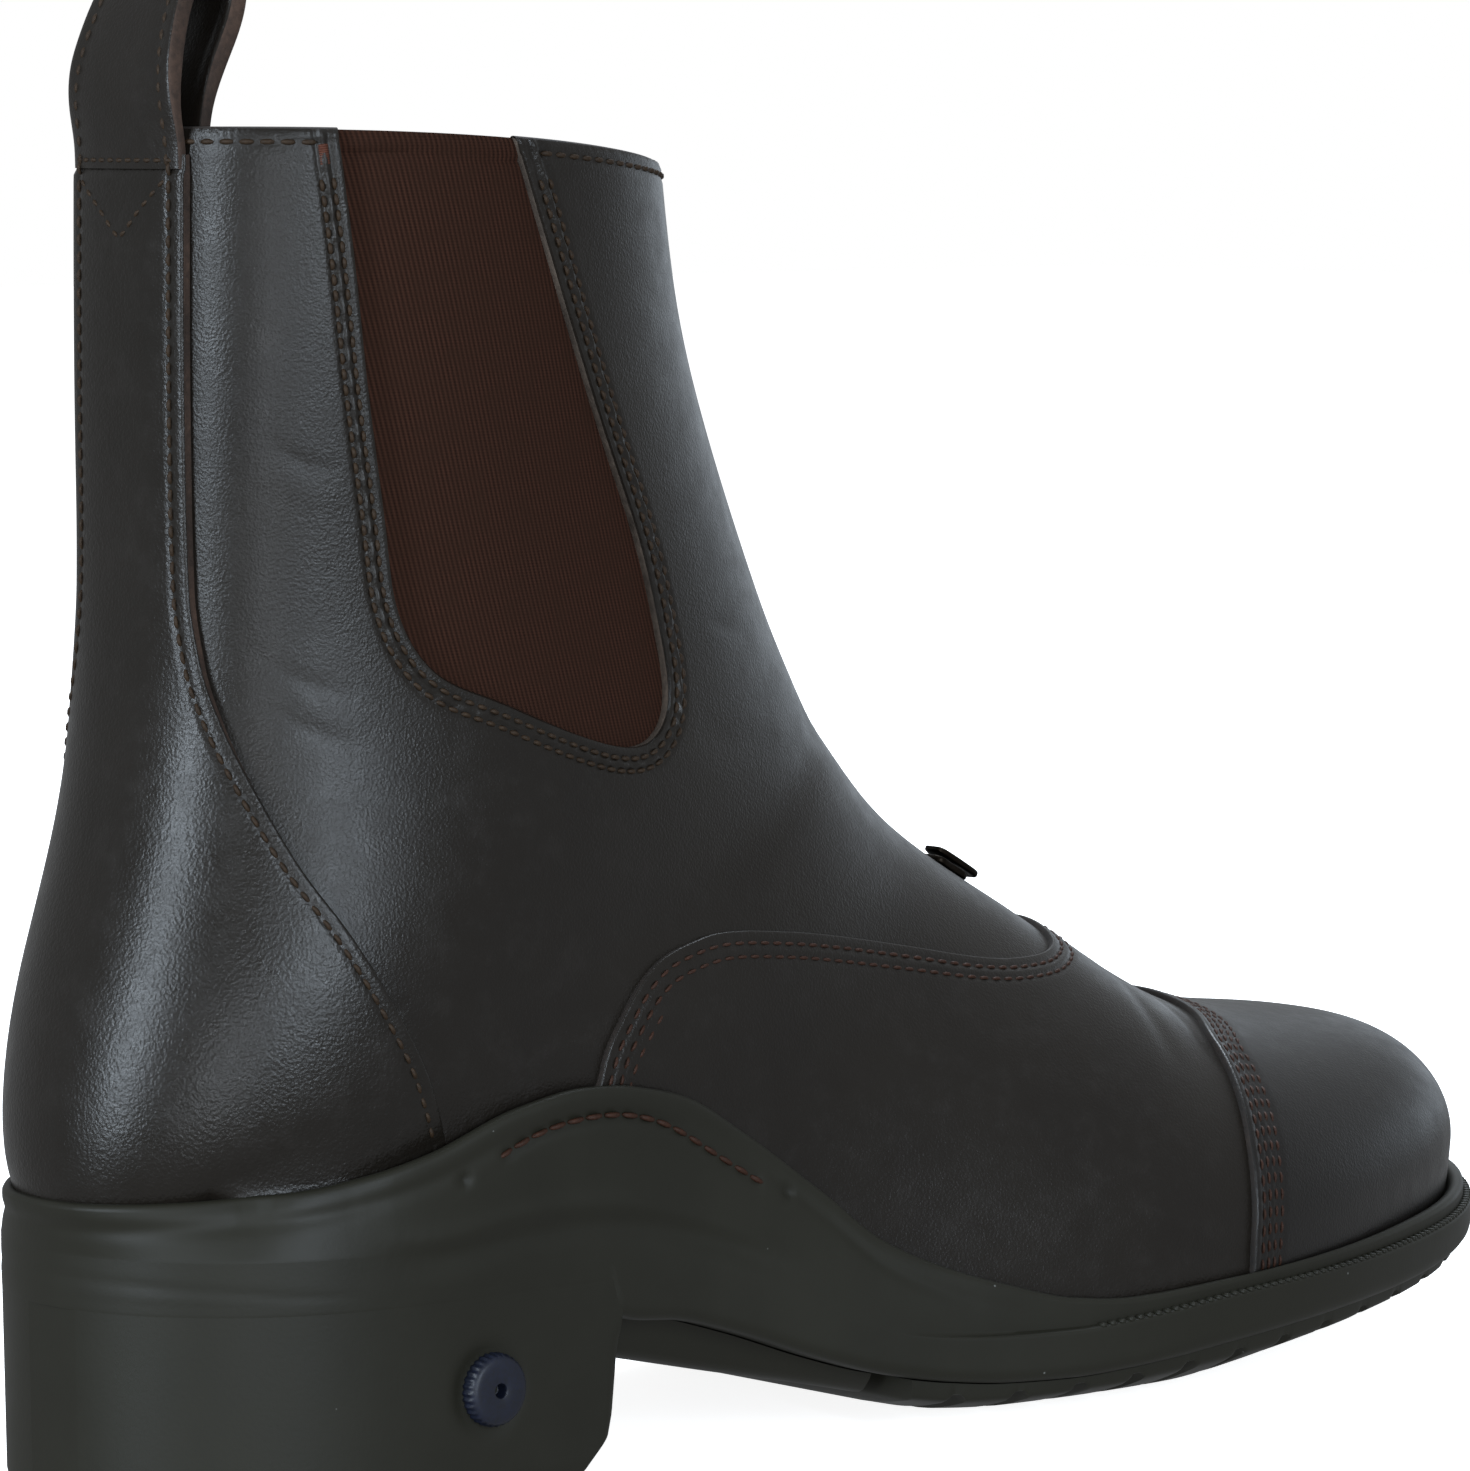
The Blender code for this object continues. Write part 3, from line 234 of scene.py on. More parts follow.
def width_along(u, a, side):
    """y of the section u at the fraction a of its length: a quarter of a superellipse below its belly, one above."""
    at, back, crown, top_y = (spline(KNOTS, FAN[:, k], u) for k in (7, 8, 9, 4))
    base, belly = base_width(u, side), spline(KNOTS, BELLY[side], u)
    low = np.arccos(np.clip(1 - a / at, 0, 1))
    high = np.arcsin(np.clip((a - at) / (1 - at), 0, 1))
    y_low = side * (base + (belly - base) * np.sin(low) ** (2 / back))
    y_high = top_y + (side * belly - top_y) * np.cos(high) ** (2 / crown)
    return np.where(a < at, y_low, y_high)


def skin(u, v):
    """Upper's outer face: u from toe tip to collar, v from -1 lateral base by 0 ridge to 1 medial base."""
    u, v = np.broadcast_arrays(np.asarray(u, float), np.asarray(v, float))
    ring = u >= HEEL_U - 1e-9
    v = np.where(ring & (v > 1), v - 2, np.where(ring & (v < -1), v + 2, v))
    t, at = 1 - np.abs(v), spline(KNOTS, FAN[:, 7], u)
    split = 0.12 + 0.75 * at
    low, high = (np.clip(s, 0, 1) * np.pi / 2 for s in (t / split, (t - split) / (1 - split)))
    a = np.where(t < split, at * (1 - np.cos(low)), at + (1 - at) * np.sin(high))
    y = np.where(v < 0, width_along(u, a, LATERAL), width_along(u, a, MEDIAL))
    base_x, base_z, top_x, top_z = (spline(KNOTS, FAN[:, k], u) for k in range(4))
    bow = COLLAR_BOW * 4 * a * (1 - a) * np.clip((u - 0.8) / 0.2, 0, 1) ** 2
    return np.stack([base_x + a * (top_x - base_x), y, base_z + a * (top_z - base_z) + bow], -1)


def normal(u, v):
    """Outward unit normal of the skin, by differences."""
    e = 1e-3
    u, v = np.broadcast_arrays(np.asarray(u, float), np.asarray(v, float))
    u = np.clip(u, 2 * e, 1)
    ring = u >= HEEL_U + e
    v = np.where(ring, v, np.clip(v, -0.97, 0.97))
    return unit(np.cross(skin(u, v + e) - skin(u, v - e), skin(np.minimum(u + e, 1), v) - skin(u - e, v)))


def lifted(u, v, lift):
    """Point above the skin by lift along its normal."""
    return skin(u, v) + np.asarray(lift, float)[..., None] * normal(u, v)


def across_of(u, a, side):
    """Place v across the section u for the fraction a of its length."""
    at = spline(KNOTS, FAN[:, 7], u)
    split = 0.12 + 0.75 * at
    low = np.arccos(np.clip(1 - a / at, 0, 1)) / (np.pi / 2) * split
    high = split + np.arcsin(np.clip((a - at) / (1 - at), 0, 1)) / (np.pi / 2) * (1 - split)
    return side * (1 - np.where(a < at, low, high))


def on_skin(x, z, side):
    """Fan coordinates of the skin points seen at x and z from one side: the section that is at z where it passes x."""
    u = np.linspace(0.40, 1.0, 1500)
    x, z = np.asarray(x, float), np.asarray(z, float)
    base_x, base_z, top_x, top_z = (spline(KNOTS, FAN[:, k], u) for k in range(4))
    a = (x[:, None] - base_x) / (top_x - base_x)
    height = base_z + a * (top_z - base_z) + COLLAR_BOW * 4 * a * (1 - a) * np.clip((u - 0.8) / 0.2, 0, 1) ** 2
    off = np.where((a >= 0) & (a <= 1), height - z[:, None], 1e6)
    k = np.argmin(np.abs(off), axis=1)
    row, n = np.arange(len(k)), np.where(k < len(u) - 1, k + 1, k - 1)
    n = np.where(off[row, n] > 1e5, np.clip(2 * k - n, 0, len(u) - 1), n)
    slope = (off[row, n] - off[row, k]) / np.where(n == k, 1, u[n] - u[k])
    step = np.where(np.abs(slope) > 1e-6, -off[row, k] / np.where(np.abs(slope) > 1e-6, slope, 1), 0)
    u_at = np.clip(u[k] + np.clip(step, -6e-4, 6e-4), 0.40, 1.0)
    low, high = (spline(KNOTS, FAN[:, c], u_at) for c in (0, 2))
    return u_at, across_of(u_at, np.clip((x - low) / (high - low), 0, 1), side)


def evenly(path, count):
    """Path of any columns, its first three a place, resampled at even distances along that place."""
    along = np.concatenate([[0], np.cumsum(np.linalg.norm(np.diff(path[:, :3], axis=0), axis=1))])
    at = np.linspace(0, along[-1], count)
    return np.stack([np.interp(at, along, column) for column in path.T], 1)


def even_uv(u, v, count):
    """Fan path resampled evenly over the skin."""
    path = evenly(np.column_stack([skin(u, v), u, v]), count)
    return path[:, 3], path[:, 4]


def beside(u, v, distance):
    """Fan path moved sideways over the skin by a distance, to the left of its way as seen from outside."""
    first_u, first_v, hold = u, v, len(u) // 45
    for _ in range(2):
        e = 5e-4
        way = unit(np.gradient(skin(u, v), axis=0))
        left = unit(np.cross(normal(u, v), way)) * (np.asarray(distance) / 2)[..., None]
        high, low = np.minimum(v + e, 1.0), np.maximum(v - e, -1.0)
        su, sv = (skin(u + e, v) - skin(u - e, v)) / (2 * e), (skin(u, high) - skin(u, low)) / (high - low)[..., None]
        uu, uv, vv = (su * su).sum(-1), (su * sv).sum(-1), (sv * sv).sum(-1)
        pu, pv = (su * left).sum(-1), (sv * left).sum(-1)
        under = np.maximum(uu * vv - uv * uv, 1e-6)
        free = np.clip((1 - np.abs(v)) / 0.07, 0, 1)      # near the base the step goes along the fan only
        u = u + free * (vv * pu - uv * pv) / under + (1 - free) * pu / uu
        v = np.clip(v + free * (uu * pv - uv * pu) / under, -1, 1)
    for ends, near in ((slice(0, hold), hold), (slice(len(u) - hold, len(u)), len(u) - hold - 1)):
        u[ends] = first_u[ends] + (u - first_u)[near]      # at the base the ends go along with the next point
        v[ends] = np.clip(first_v[ends] + (v - first_v)[near], -1, 1)
    return u, v


def nearest(points, path):
    """Distance of each point to the nearest point of a dense path."""
    flat, found = points.reshape(-1, 3).astype(np.float32), []
    path = path.astype(np.float32)
    for block in np.array_split(flat, max(1, len(flat) // 4000)):
        found.append(np.sqrt(((block[:, None] - path[None]) ** 2).sum(-1).min(1)))
    return np.concatenate(found).reshape(points.shape[:-1]).astype(float)


# ---- Meshes ----

THREADS = {"brown": [], "russet": [], "tack": []}


def quads(rows, columns, closed=False):
    """Corner numbers of a grid's quads, row by row; closed joins the last column to the first."""
    index = np.arange(rows * columns).reshape(rows, columns)
    if closed:
        index = np.concatenate([index, index[:, :1]], 1)
    return np.stack([index[:-1, :-1], index[:-1, 1:], index[1:, 1:], index[1:, :-1]], -1).reshape(-1, 4)


def piece(name, points, faces, finishes, slot, nodes=(), body="boot", which=None, uv=None, out=None, sharp=42):
    """Mesh object from points in millimetres and quads; out gives the outward side of an open sheet."""
    points, faces = np.asarray(points, float).reshape(-1, 3), np.asarray(faces)
    if out is not None:
        a, b, c, d = (points[faces[:, k]] for k in range(4))
        facing = (np.cross(c - a, d - b) * np.asarray(out).reshape(-1, 3)[faces[:, 0]]).sum(1)
        faces = faces[:, ::-1] if (facing > 0).mean() < 0.5 else faces
    mesh = bpy.data.meshes.new(name)
    mesh.vertices.add(len(points))
    mesh.vertices.foreach_set("co", ((points + ORIGIN) * MM).ravel())
    mesh.loops.add(faces.size)
    mesh.loops.foreach_set("vertex_index", faces.ravel().astype(np.int32))
    mesh.polygons.add(len(faces))
    mesh.polygons.foreach_set("loop_start", np.arange(0, faces.size, 4, dtype=np.int32))
    for finish in finishes:
        mesh.materials.append(finish)
    if which is not None:
        mesh.polygons.foreach_set("material_index", np.asarray(which, np.int32).ravel())
    if uv is not None:
        layer = mesh.uv_layers.new(name="lay")
        layer.data.foreach_set("uv", np.asarray(uv, float).reshape(-1, 2)[faces.ravel()].ravel())
    mesh.update(calc_edges=True)
    work = bmesh.new()
    work.from_mesh(mesh)
    bmesh.ops.remove_doubles(work, verts=work.verts, dist=0.004 * MM)
    if out is None:
        bmesh.ops.recalc_face_normals(work, faces=work.faces)
    work.to_mesh(mesh)
    work.free()
    mesh.shade_smooth()
    mesh.set_sharp_from_angle(angle=np.radians(sharp))
    made = bpy.data.objects.new(name, mesh)
    bpy.context.scene.collection.objects.link(made)
    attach(made, body)
    for node in nodes:
        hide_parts(node)
    return made


def rolled(distance, radius):
    """Quarter round from 0 at the edge to 1 at the radius inside it."""
    return np.sqrt(np.clip(1 - (1 - np.clip(distance / radius, 0, 1)) ** 2, 0, 1))


def sew(thread, points, ups, pitch=2.6, length=1.8, width=0.55):
    """Marks stitches at even steps along a line of points, each with its way and its outward direction."""
    total = np.linalg.norm(np.diff(points, axis=0), axis=1).sum()
    path = evenly(np.column_stack([points, ups]), max(3, int(total / pitch) + 1))
    centre, way = (path[1:] + path[:-1]) / 2, unit(np.diff(path[:, :3], axis=0))
    THREADS[thread].append(np.column_stack([centre[:, :3], way, unit(centre[:, 3:]), np.full(len(way), length),
                                            np.full(len(way), width)]))


def tack(thread, u, v, length, width):
    """Bar tack: close stitches laid across a short fan path."""
    points, up = skin(u, v), normal(u, v)
    way = unit(np.cross(up, np.gradient(points, axis=0)))
    THREADS[thread].append(np.column_stack([points, way, up, np.full(len(u), length), np.full(len(u), width)]))


def sew_skin(thread, u, v, lift, **settings):
    """Stitches along a fan path above the skin."""
    sew(thread, lifted(u, v, np.broadcast_to(lift, np.shape(u))), normal(u, v), **settings)


def threads(name, thread, finish):
    """All stitches of one thread: a capsule whose round section shrinks to its ends, which dip into the leather."""
    marks = np.concatenate(THREADS[thread])
    centre, way, up, length, width = marks[:, :3], marks[:, 3:6], marks[:, 6:9], marks[:, 9], marks[:, 10]
    along, turn = np.meshgrid(np.array([-1, -0.8, -0.3, 0.3, 0.8, 1]), np.linspace(0, 2 * np.pi, 6, endpoint=False),
                              indexing="ij")
    girth = np.sqrt(1 - 0.97 * along ** 4) * 0.5
    side = np.cross(up, way)
    put = lambda vectors, amount: vectors[:, None, None, :] * amount[..., None]
    points = (centre[:, None, None, :] + put(way, along[None] * length[:, None, None] / 2)
              + put(side, girth * np.cos(turn) * width[:, None, None])
              + put(up, (girth * np.sin(turn) + 0.02 - 0.50 * along ** 2) * width[:, None, None]))
    one = np.concatenate([quads(6, 6, True), [[0, 1, 2, 3], [0, 3, 4, 5], [33, 32, 31, 30], [35, 34, 33, 30]]])
    faces = (one[None] + 36 * np.arange(len(marks))[:, None, None]).reshape(-1, 4)
    return piece(name, points, faces, [finish], "leather", sharp=80)


def loops_piece(name, loops, finish, slot, nodes=(), **settings):
    """Closed skin through loops that run lateral heel to toe, then medial toe to heel, with ruled end caps."""
    loops = np.asarray(loops)
    levels, count = loops.shape[:2]
    j = np.arange(count // 2 - 1)
    caps = [first + np.stack([j, j + 1, count - 2 - j, count - 1 - j], 1) for first in (0, (levels - 1) * count)]
    faces = np.concatenate([quads(levels, count, True)] + caps)
    return piece(name, loops, faces, [finish], slot, nodes, **settings)


def edge_stations(x, side):
    """Points of the sole edge at the given x on one side, with their inward normals."""
    index = np.arange(0, TIP_INDEX + 1) if side == LATERAL else np.concatenate(
        [[0], np.arange(len(EDGE) - 1, TIP_INDEX - 1, -1)])
    order = index[np.argsort(EDGE[index, 0], kind="stable")]
    pick = [np.interp(x, EDGE[order, 0], column[order]) for column in (EDGE[:, 1], INWARD[:, 0], INWARD[:, 1])]
    return np.stack([x, pick[0]], 1), np.stack(pick[1:], 1)


def sides(stations, inset, heights):
    """Closed loop at the stations, moved inward, at heights given or worked out from the moved x."""
    halves = []
    for side in (LATERAL, MEDIAL):
        points, inward = edge_stations(stations, side)
        own = inset[side] if isinstance(inset, dict) else inset
        plan = points + np.broadcast_to(own, len(points))[:, None] * inward
        tall = heights(plan[:, 0]) if callable(heights) else heights
        halves.append(np.column_stack([plan, np.broadcast_to(tall, len(points))]))
    return np.concatenate([halves[0], halves[1][::-1]])


def level_of(x, column):
    """Height along the sole from its table: 1 underside, 2 side step, 3 rubber rim."""
    return smooth(SOLE_LEVELS[:, 0], SOLE_LEVELS[:, column], x)


def feather(x):
    """Height of the leather's lower edge at x."""
    u = np.linspace(HEEL_U, 0, 600)
    return np.interp(x, spline(KNOTS, FAN[:, 0], u), spline(KNOTS, FAN[:, 1], u))


# ---- Seam lines on the skin ----

def seam_path(table, count):
    """Seam line from the lateral base over the ridge to the medial base, evenly spaced."""
    v = np.linspace(-1, 1, 3000)
    return even_uv(smooth(table[:, 0], table[:, 1], np.sqrt(v * v + 4e-4)), v, count)


def window_path(side, count):
    """Border of a gusset window from the rear of the collar round its foot to the front of the collar."""
    along = np.concatenate([[0], np.cumsum(np.hypot(*np.diff(WINDOW, axis=0).T))])
    at = np.linspace(0, along[-1], 900)
    x, z = (spline(along, WINDOW[:, k], at) for k in range(2))
    rim = skin(1.0, side * np.linspace(0.05, 0.97, 300))
    order = np.argsort(rim[:, 0])
    keep = z < np.interp(x, rim[order, 0], rim[order, 2]) - 0.6
    u, v = on_skin(x[keep], z[keep], side)
    first, last = (v[k] + (v[k] - v[n]) / (u[k] - u[n]) * (1 - u[k]) for k, n in ((0, 8), (-1, -9)))
    return even_uv(np.concatenate([[1.0], u, [1.0]]), np.concatenate([[first], v, [last]]), count)


def ridge_place(u, width, side):
    """Place across the section where the skin is the given width from the middle plane, near the ridge."""
    low, high = np.zeros(np.shape(u)), np.full(np.shape(u), 0.6)
    for _ in range(40):
        mid = (low + high) / 2
        wide = np.abs(skin(u, side * mid)[..., 1]) > width
        low, high = np.where(wide, low, mid), np.where(wide, mid, high)
    return side * (low + high) / 2


def slit_path(side, count):
    """Edge of the front opening, from the join below the zip, widening evenly from the slit's foot, to the collar."""
    u = np.concatenate([np.linspace(0.325, SLIDER_U - 0.018, 60), np.linspace(SLIDER_U - 0.018, 1.0, 700)])
    width = SLIT * np.clip((u - SLIDER_U + 0.018) / 0.085, 0, 1)
    return even_uv(u, np.where(width > 0, ridge_place(u, np.maximum(width, 1e-3), side), 0.0), count)


# Creases of the leather seen from the side: line of x and z, depth and half width, a ridge where the depth is below 0
CREASES = [
    ([(20.5, 121.0), (27.0, 116.5), (35.0, 113.5)], 0.13, 1.1),
    ([(22.0, 113.5), (29.0, 109.0), (38.0, 105.0)], 0.13, 1.2),
    ([(24.0, 105.0), (33.0, 100.0), (42.0, 97.5)], 0.08, 1.6),
    ([(21.0, 117.3), (28.5, 112.6), (36.5, 109.2)], -0.07, 1.8),
    ([(22.5, 151.0), (27.0, 147.0), (33.0, 145.5)], 0.10, 1.0),
    ([(22.0, 147.0), (27.0, 143.2), (33.5, 141.0)], -0.05, 1.6),
    ([(103.0, 121.5), (110.0, 119.6), (119.0, 119.8)], 0.12, 1.2),
    ([(98.0, 106.0), (108.0, 103.0), (122.0, 103.5)], 0.14, 3.0),
    ([(60.0, 100.0), (72.0, 97.0), (84.0, 97.0)], 0.10, 3.2),
]


def crease_relief(points):
    """Listed creases as soft troughs and ridges whose depth fades to the ends of their lines."""
    relief = np.zeros(points.shape[:-1])
    for line, depth, width in CREASES:
        line = np.array(line)
        t = np.linspace(0, 2, 60)
        curve = np.stack([spline([0, 1, 2], line[:, k], t) for k in range(2)], 1)
        near = ((points[..., 0] > line[:, 0].min() - 12) & (points[..., 0] < line[:, 0].max() + 12)
                & (np.abs(points[..., 2] - line[:, 1].mean()) < 24))
        gap = np.sqrt(((points[near][:, None, ::2] - curve) ** 2).sum(-1))
        k = gap.argmin(1)
        relief[near] -= depth * np.sin(np.pi * k / 59) ** 0.8 * np.exp(-(gap.min(1) / width) ** 2)
    return relief


# ---- Upper ----

def quarter(side, label, finish, raw, window_raw):
    """Quarter panel: straight lines in the fan from the window's border out to back line, sole, vamp and slit."""
    count = 380
    wu, wv = window_path(side, count)
    vamp_u, vamp_v = seam_path(VAMP_EDGE, 2400)
    vamp_u, vamp_v = beside(vamp_u, vamp_v, np.full(2400, -2.4))
    even = np.ones(121) / 121
    vamp_u, vamp_v = (np.convolve(np.pad(c, 60, "edge"), even, "valid") for c in (vamp_u, vamp_v))
    half = slice(0, 1200) if side == LATERAL else slice(2399, 1199, -1)
    vamp_u, vamp_v = vamp_u[half], np.where(np.abs(vamp_v[half]) > 1, side, vamp_v[half])
    slit_u, slit_v = slit_path(side, 1200)
    slit_u, slit_v = np.concatenate([[vamp_u[-1]], slit_u]), np.concatenate([[0.0], slit_v])
    parts = [(np.linspace(1, HEEL_U, 400), np.full(400, float(side)), 0.00, 0.34),
             (np.linspace(HEEL_U, vamp_u[0], 300), np.full(300, float(side)), 0.34, 0.45),
             (vamp_u, vamp_v, 0.45, 0.655), (slit_u, slit_v, 0.655, 1.0)]
    s = np.linspace(0, 1, count)
    ou, ov = np.zeros(count), np.zeros(count)
    for u, v, start, end in parts:
        inside = (s >= start - 1e-9) & (s <= end + 1e-9)
        path = np.column_stack([skin(u, v), u, v])
        along = np.concatenate([[0], np.cumsum(np.linalg.norm(np.diff(path[:, :3], axis=0), axis=1))])
        at = (s[inside] - start) / (end - start) * along[-1]
        ou[inside], ov[inside] = np.interp(at, along, u), np.interp(at, along, v)
    r = np.concatenate([[0, 0, 0, 0], np.linspace(0, 1, 118)[1:] ** 1.22, [1, 1]])
    drop = np.concatenate([[2.1, 1.3, 0.6, 0.16], np.zeros(117), [0.7, 1.7]])
    u, v = ((1 - r)[:, None] * w[None] + r[:, None] * o[None] for w, o in ((wu, ou), (wv, ov)))
    flat = skin(u, v)
    border = nearest(flat, skin(wu, wv))
    rim = skin(1.0, side * np.linspace(0, 1, 700))
    collar = nearest(flat, rim)
    lift = crease_relief(flat) - drop[:, None]
    lift -= 0.26 * bump(border, 1.7, 0.5) + 0.26 * bump(border, 3.5, 0.5) + 0.35 * (1 - rolled(border, 0.8))
    lift += 0.24 * bump(border, 2.6, 0.55) * (1 + 0.45 * np.sin(s * 420)[None, :])
    lift -= 0.22 * bump(collar, 1.8, 0.5) + 0.5 * (1 - rolled(collar, 0.9))
    eu, ev, ez = counter_place(np.linspace(0, 1, 160), float(side))
    lift -= 1.2 * blend(np.interp(flat[..., 2], ez, skin(eu, ev)[:, 0]) - flat[..., 0], 2.5, 7.0)
    out = normal(u, v)
    rows = len(r)
    which = np.zeros((rows - 1, count - 1), int)
    which[:3], which[-2:] = 2, 1
    piece("quarter_" + label, flat + lift[..., None] * out, quads(rows, count), [finish, raw, window_raw],
          "leather", ["upper"], which=which, out=out)
    for gap in (1.7, 3.5):
        su, sv = beside(*window_path(side, 700), np.full(700, gap * side))
        keep = su < 0.985
        sew_skin("brown", su[keep], sv[keep], 0.0, pitch=2.2, length=1.75, width=0.72)
    su, sv = beside(np.ones(400), side * np.linspace(0.985, 0.02, 400), np.full(400, 1.8 * side))
    points = skin(su, sv)
    clear = (nearest(points, skin(*window_path(side, 700))) > 3.0) & (np.abs(points[:, 1]) > SLIT + 1.2)
    inside = (points[:, 0] > skin(*window_path(side, 5))[0, 0]) & (points[:, 0] < skin(*window_path(side, 5))[-1, 0])
    for part in (clear & ~inside & (points[:, 0] < 45), clear & ~inside & (points[:, 0] > 45)):
        sew_skin("brown", su[part], sv[part], 0.0, pitch=2.8, length=2.25, width=0.8)
    bu, bv = beside(*window_path(side, 700), np.full(700, 2.6 * side))
    rear = np.arange(700) < 350
    pick = np.flatnonzero(rear & (bu < 0.9955) & (bu > 0.9885))
    tack("tack", bu[pick], bv[pick], 1.5, 0.44)
    fu = np.linspace(0.972, 0.989, 8)
    tack("tack", fu, ridge_place(fu, SLIT + 2.6, side), 1.7, 0.44)
    fu = np.linspace(0.43, 0.985, 500)
    sew_skin("brown", fu, ridge_place(fu, SLIT + 4.0, side), -0.24, pitch=2.6, length=1.9, width=0.6)


def collar_edge(side, label, raw):
    """Cut collar edge: a half round carried along the collar from the lining's face to the leather's."""
    wu, wv = window_path(side, 300)
    turn = np.linspace(0, np.pi, 9)
    for name, ends in (("rear", (side, wv[0])), ("front", (wv[-1], ridge_place(np.array([1.0]), SLIT, side)[0]))):
        v = np.linspace(*ends, 120)
        u = np.ones(120)
        line, out = skin(u, v), normal(u, v)
        up = unit(skin(u, v) - skin(u - 2e-3, v))
        mid, half = (-0.45 - SUBSTANCE) / 2, (SUBSTANCE - 0.45) / 2
        points = (line[None] + (mid + half * np.cos(turn))[:, None, None] * out[None]
                  + (0.55 * np.sin(turn) - 0.25)[:, None, None] * up[None])
        normals = np.cos(turn)[:, None, None] * out[None] + np.sin(turn)[:, None, None] * up[None]
        piece(f"collar_edge_{name}_{label}", points, quads(9, 120), [raw], "leather", out=normals)


def lining(finish):
    """Lining: the skin again one substance inside, from the toe to the collar, open at the slit."""
    for side, label in ((LATERAL, "lateral"), (MEDIAL, "medial")):
        u = np.concatenate([np.linspace(0.02, SLIDER_U - 0.018, 50), np.linspace(SLIDER_U - 0.0175, 1.0, 110)])
        inner = np.where(u < SLIDER_U - 0.018, 0.0, ridge_place(u, SLIT, side))
        v = inner[:, None] + (side - inner)[:, None] * np.linspace(0, 1, 60)[None]
        u = np.broadcast_to(u[:, None], v.shape)
        out = normal(u, v)
        piece("lining_" + label, skin(u, v) - SUBSTANCE * out, quads(*v.shape), [finish], "leather", ["upper"], out=-out)


def overlay(edge, beyond, base_lift, edge_rows, relief):
    """Rows of a panel from its seam edge: first stepped over the skin by distance, then drawn to the far line."""
    count = len(edge[0])
    drops = [(0.0, 1.25), (0.0, 0.75), (0.0, 0.35), (0.05, 0.16), (0.14, 0.07)]
    near = [0.3, 0.5, 0.8, 1.1, 1.5, 1.9, 2.3, 2.8, 3.3, 3.8, 4.3, 4.9, 5.5, 6.2, 7.0, 8.0]
    rows, lifts, reach = [], [], []
    for d, drop in drops + [(d, 0.0) for d in near]:
        rows.append(np.stack(beside(*edge, np.full(count, -d))))
        lifts.append(base_lift - drop)
        reach.append(d)
    last = rows[-1]
    for w in np.linspace(0, 1, edge_rows)[1:]:
        rows.append((1 - w) * last + w * beyond)
        lifts.append(base_lift)
        reach.append(8.0 + 60.0 * w)
    grid = np.stack(rows)
    u, v = grid[:, 0], np.clip(grid[:, 1], -1, 1)
    flat, out = skin(u, v), normal(u, v)
    gap = np.array(reach)[:, None]
    lift = np.array(lifts)[:, None] + relief(gap, flat)
    which = np.zeros((len(rows) - 1, count - 1), int)
    which[:3] = 1
    return flat + lift[..., None] * out, out, which


def vamp(finish, raw):
    """Vamp laid over the quarters, two rows of stitches beside its edge, drawn under the toe cap."""
    edge = seam_path(VAMP_EDGE, 420)
    cap = seam_path(CAP_EDGE, 420)
    cap = beside(*cap, np.full(420, -4.0))
    flex = np.array([[(206.0, 57.0), (203.0, 53.0), (200.0, 46.0)], [(196.0, 62.0), (192.0, 55.0), (189.0, 47.0)],
                     [(177.0, 24.0), (186.0, 21.0), (196.0, 21.5)], [(170.0, 29.0), (181.0, 26.0), (193.0, 27.0)]])

    def relief(gap, flat):
        """Stitch channels beside the edge and the creases where the foot bends."""
        lift = -0.20 * bump(gap, 1.8, 0.4) - 0.20 * bump(gap, 3.8, 0.4) + 0.12 * bump(gap, 2.8, 0.5)
        lift = lift + np.zeros(flat.shape[:-1])
        for line, depth, width in zip(flex, (0.30, 0.28, 0.35, -0.25), (1.6, 2.4, 2.2, 2.4)):
            t = np.linspace(0, 2, 40)
            curve = np.stack([spline([0, 1, 2], line[:, k], t) for k in range(2)], 1)
            near = (np.abs(flat[..., 0] - line[:, 0].mean()) < 24)
            away = np.sqrt(((flat[near][:, None, ::2] - curve) ** 2).sum(-1))
            lift[near] -= depth * np.sin(np.pi * away.argmin(1) / 39) * np.exp(-(away.min(1) / width) ** 2)
        return lift

    points, out, which = overlay(edge, np.stack(cap), VAMP_STEP, 84, relief)
    piece("vamp", points, quads(*points.shape[:2]), [finish, raw], "leather", ["upper"], which=which, out=out)
    for gap in (1.8, 3.8):
        sew_skin("russet", *beside(*seam_path(VAMP_EDGE, 900), np.full(900, -gap)), VAMP_STEP, pitch=2.7, length=1.9)
    u, v = beside(*seam_path(VAMP_EDGE, 900), np.full(900, -5.6))
    for part in ((v < -0.56), (v > 0.56)):
        sew_skin("russet", u[part], v[part], VAMP_STEP, pitch=2.7, length=1.9)


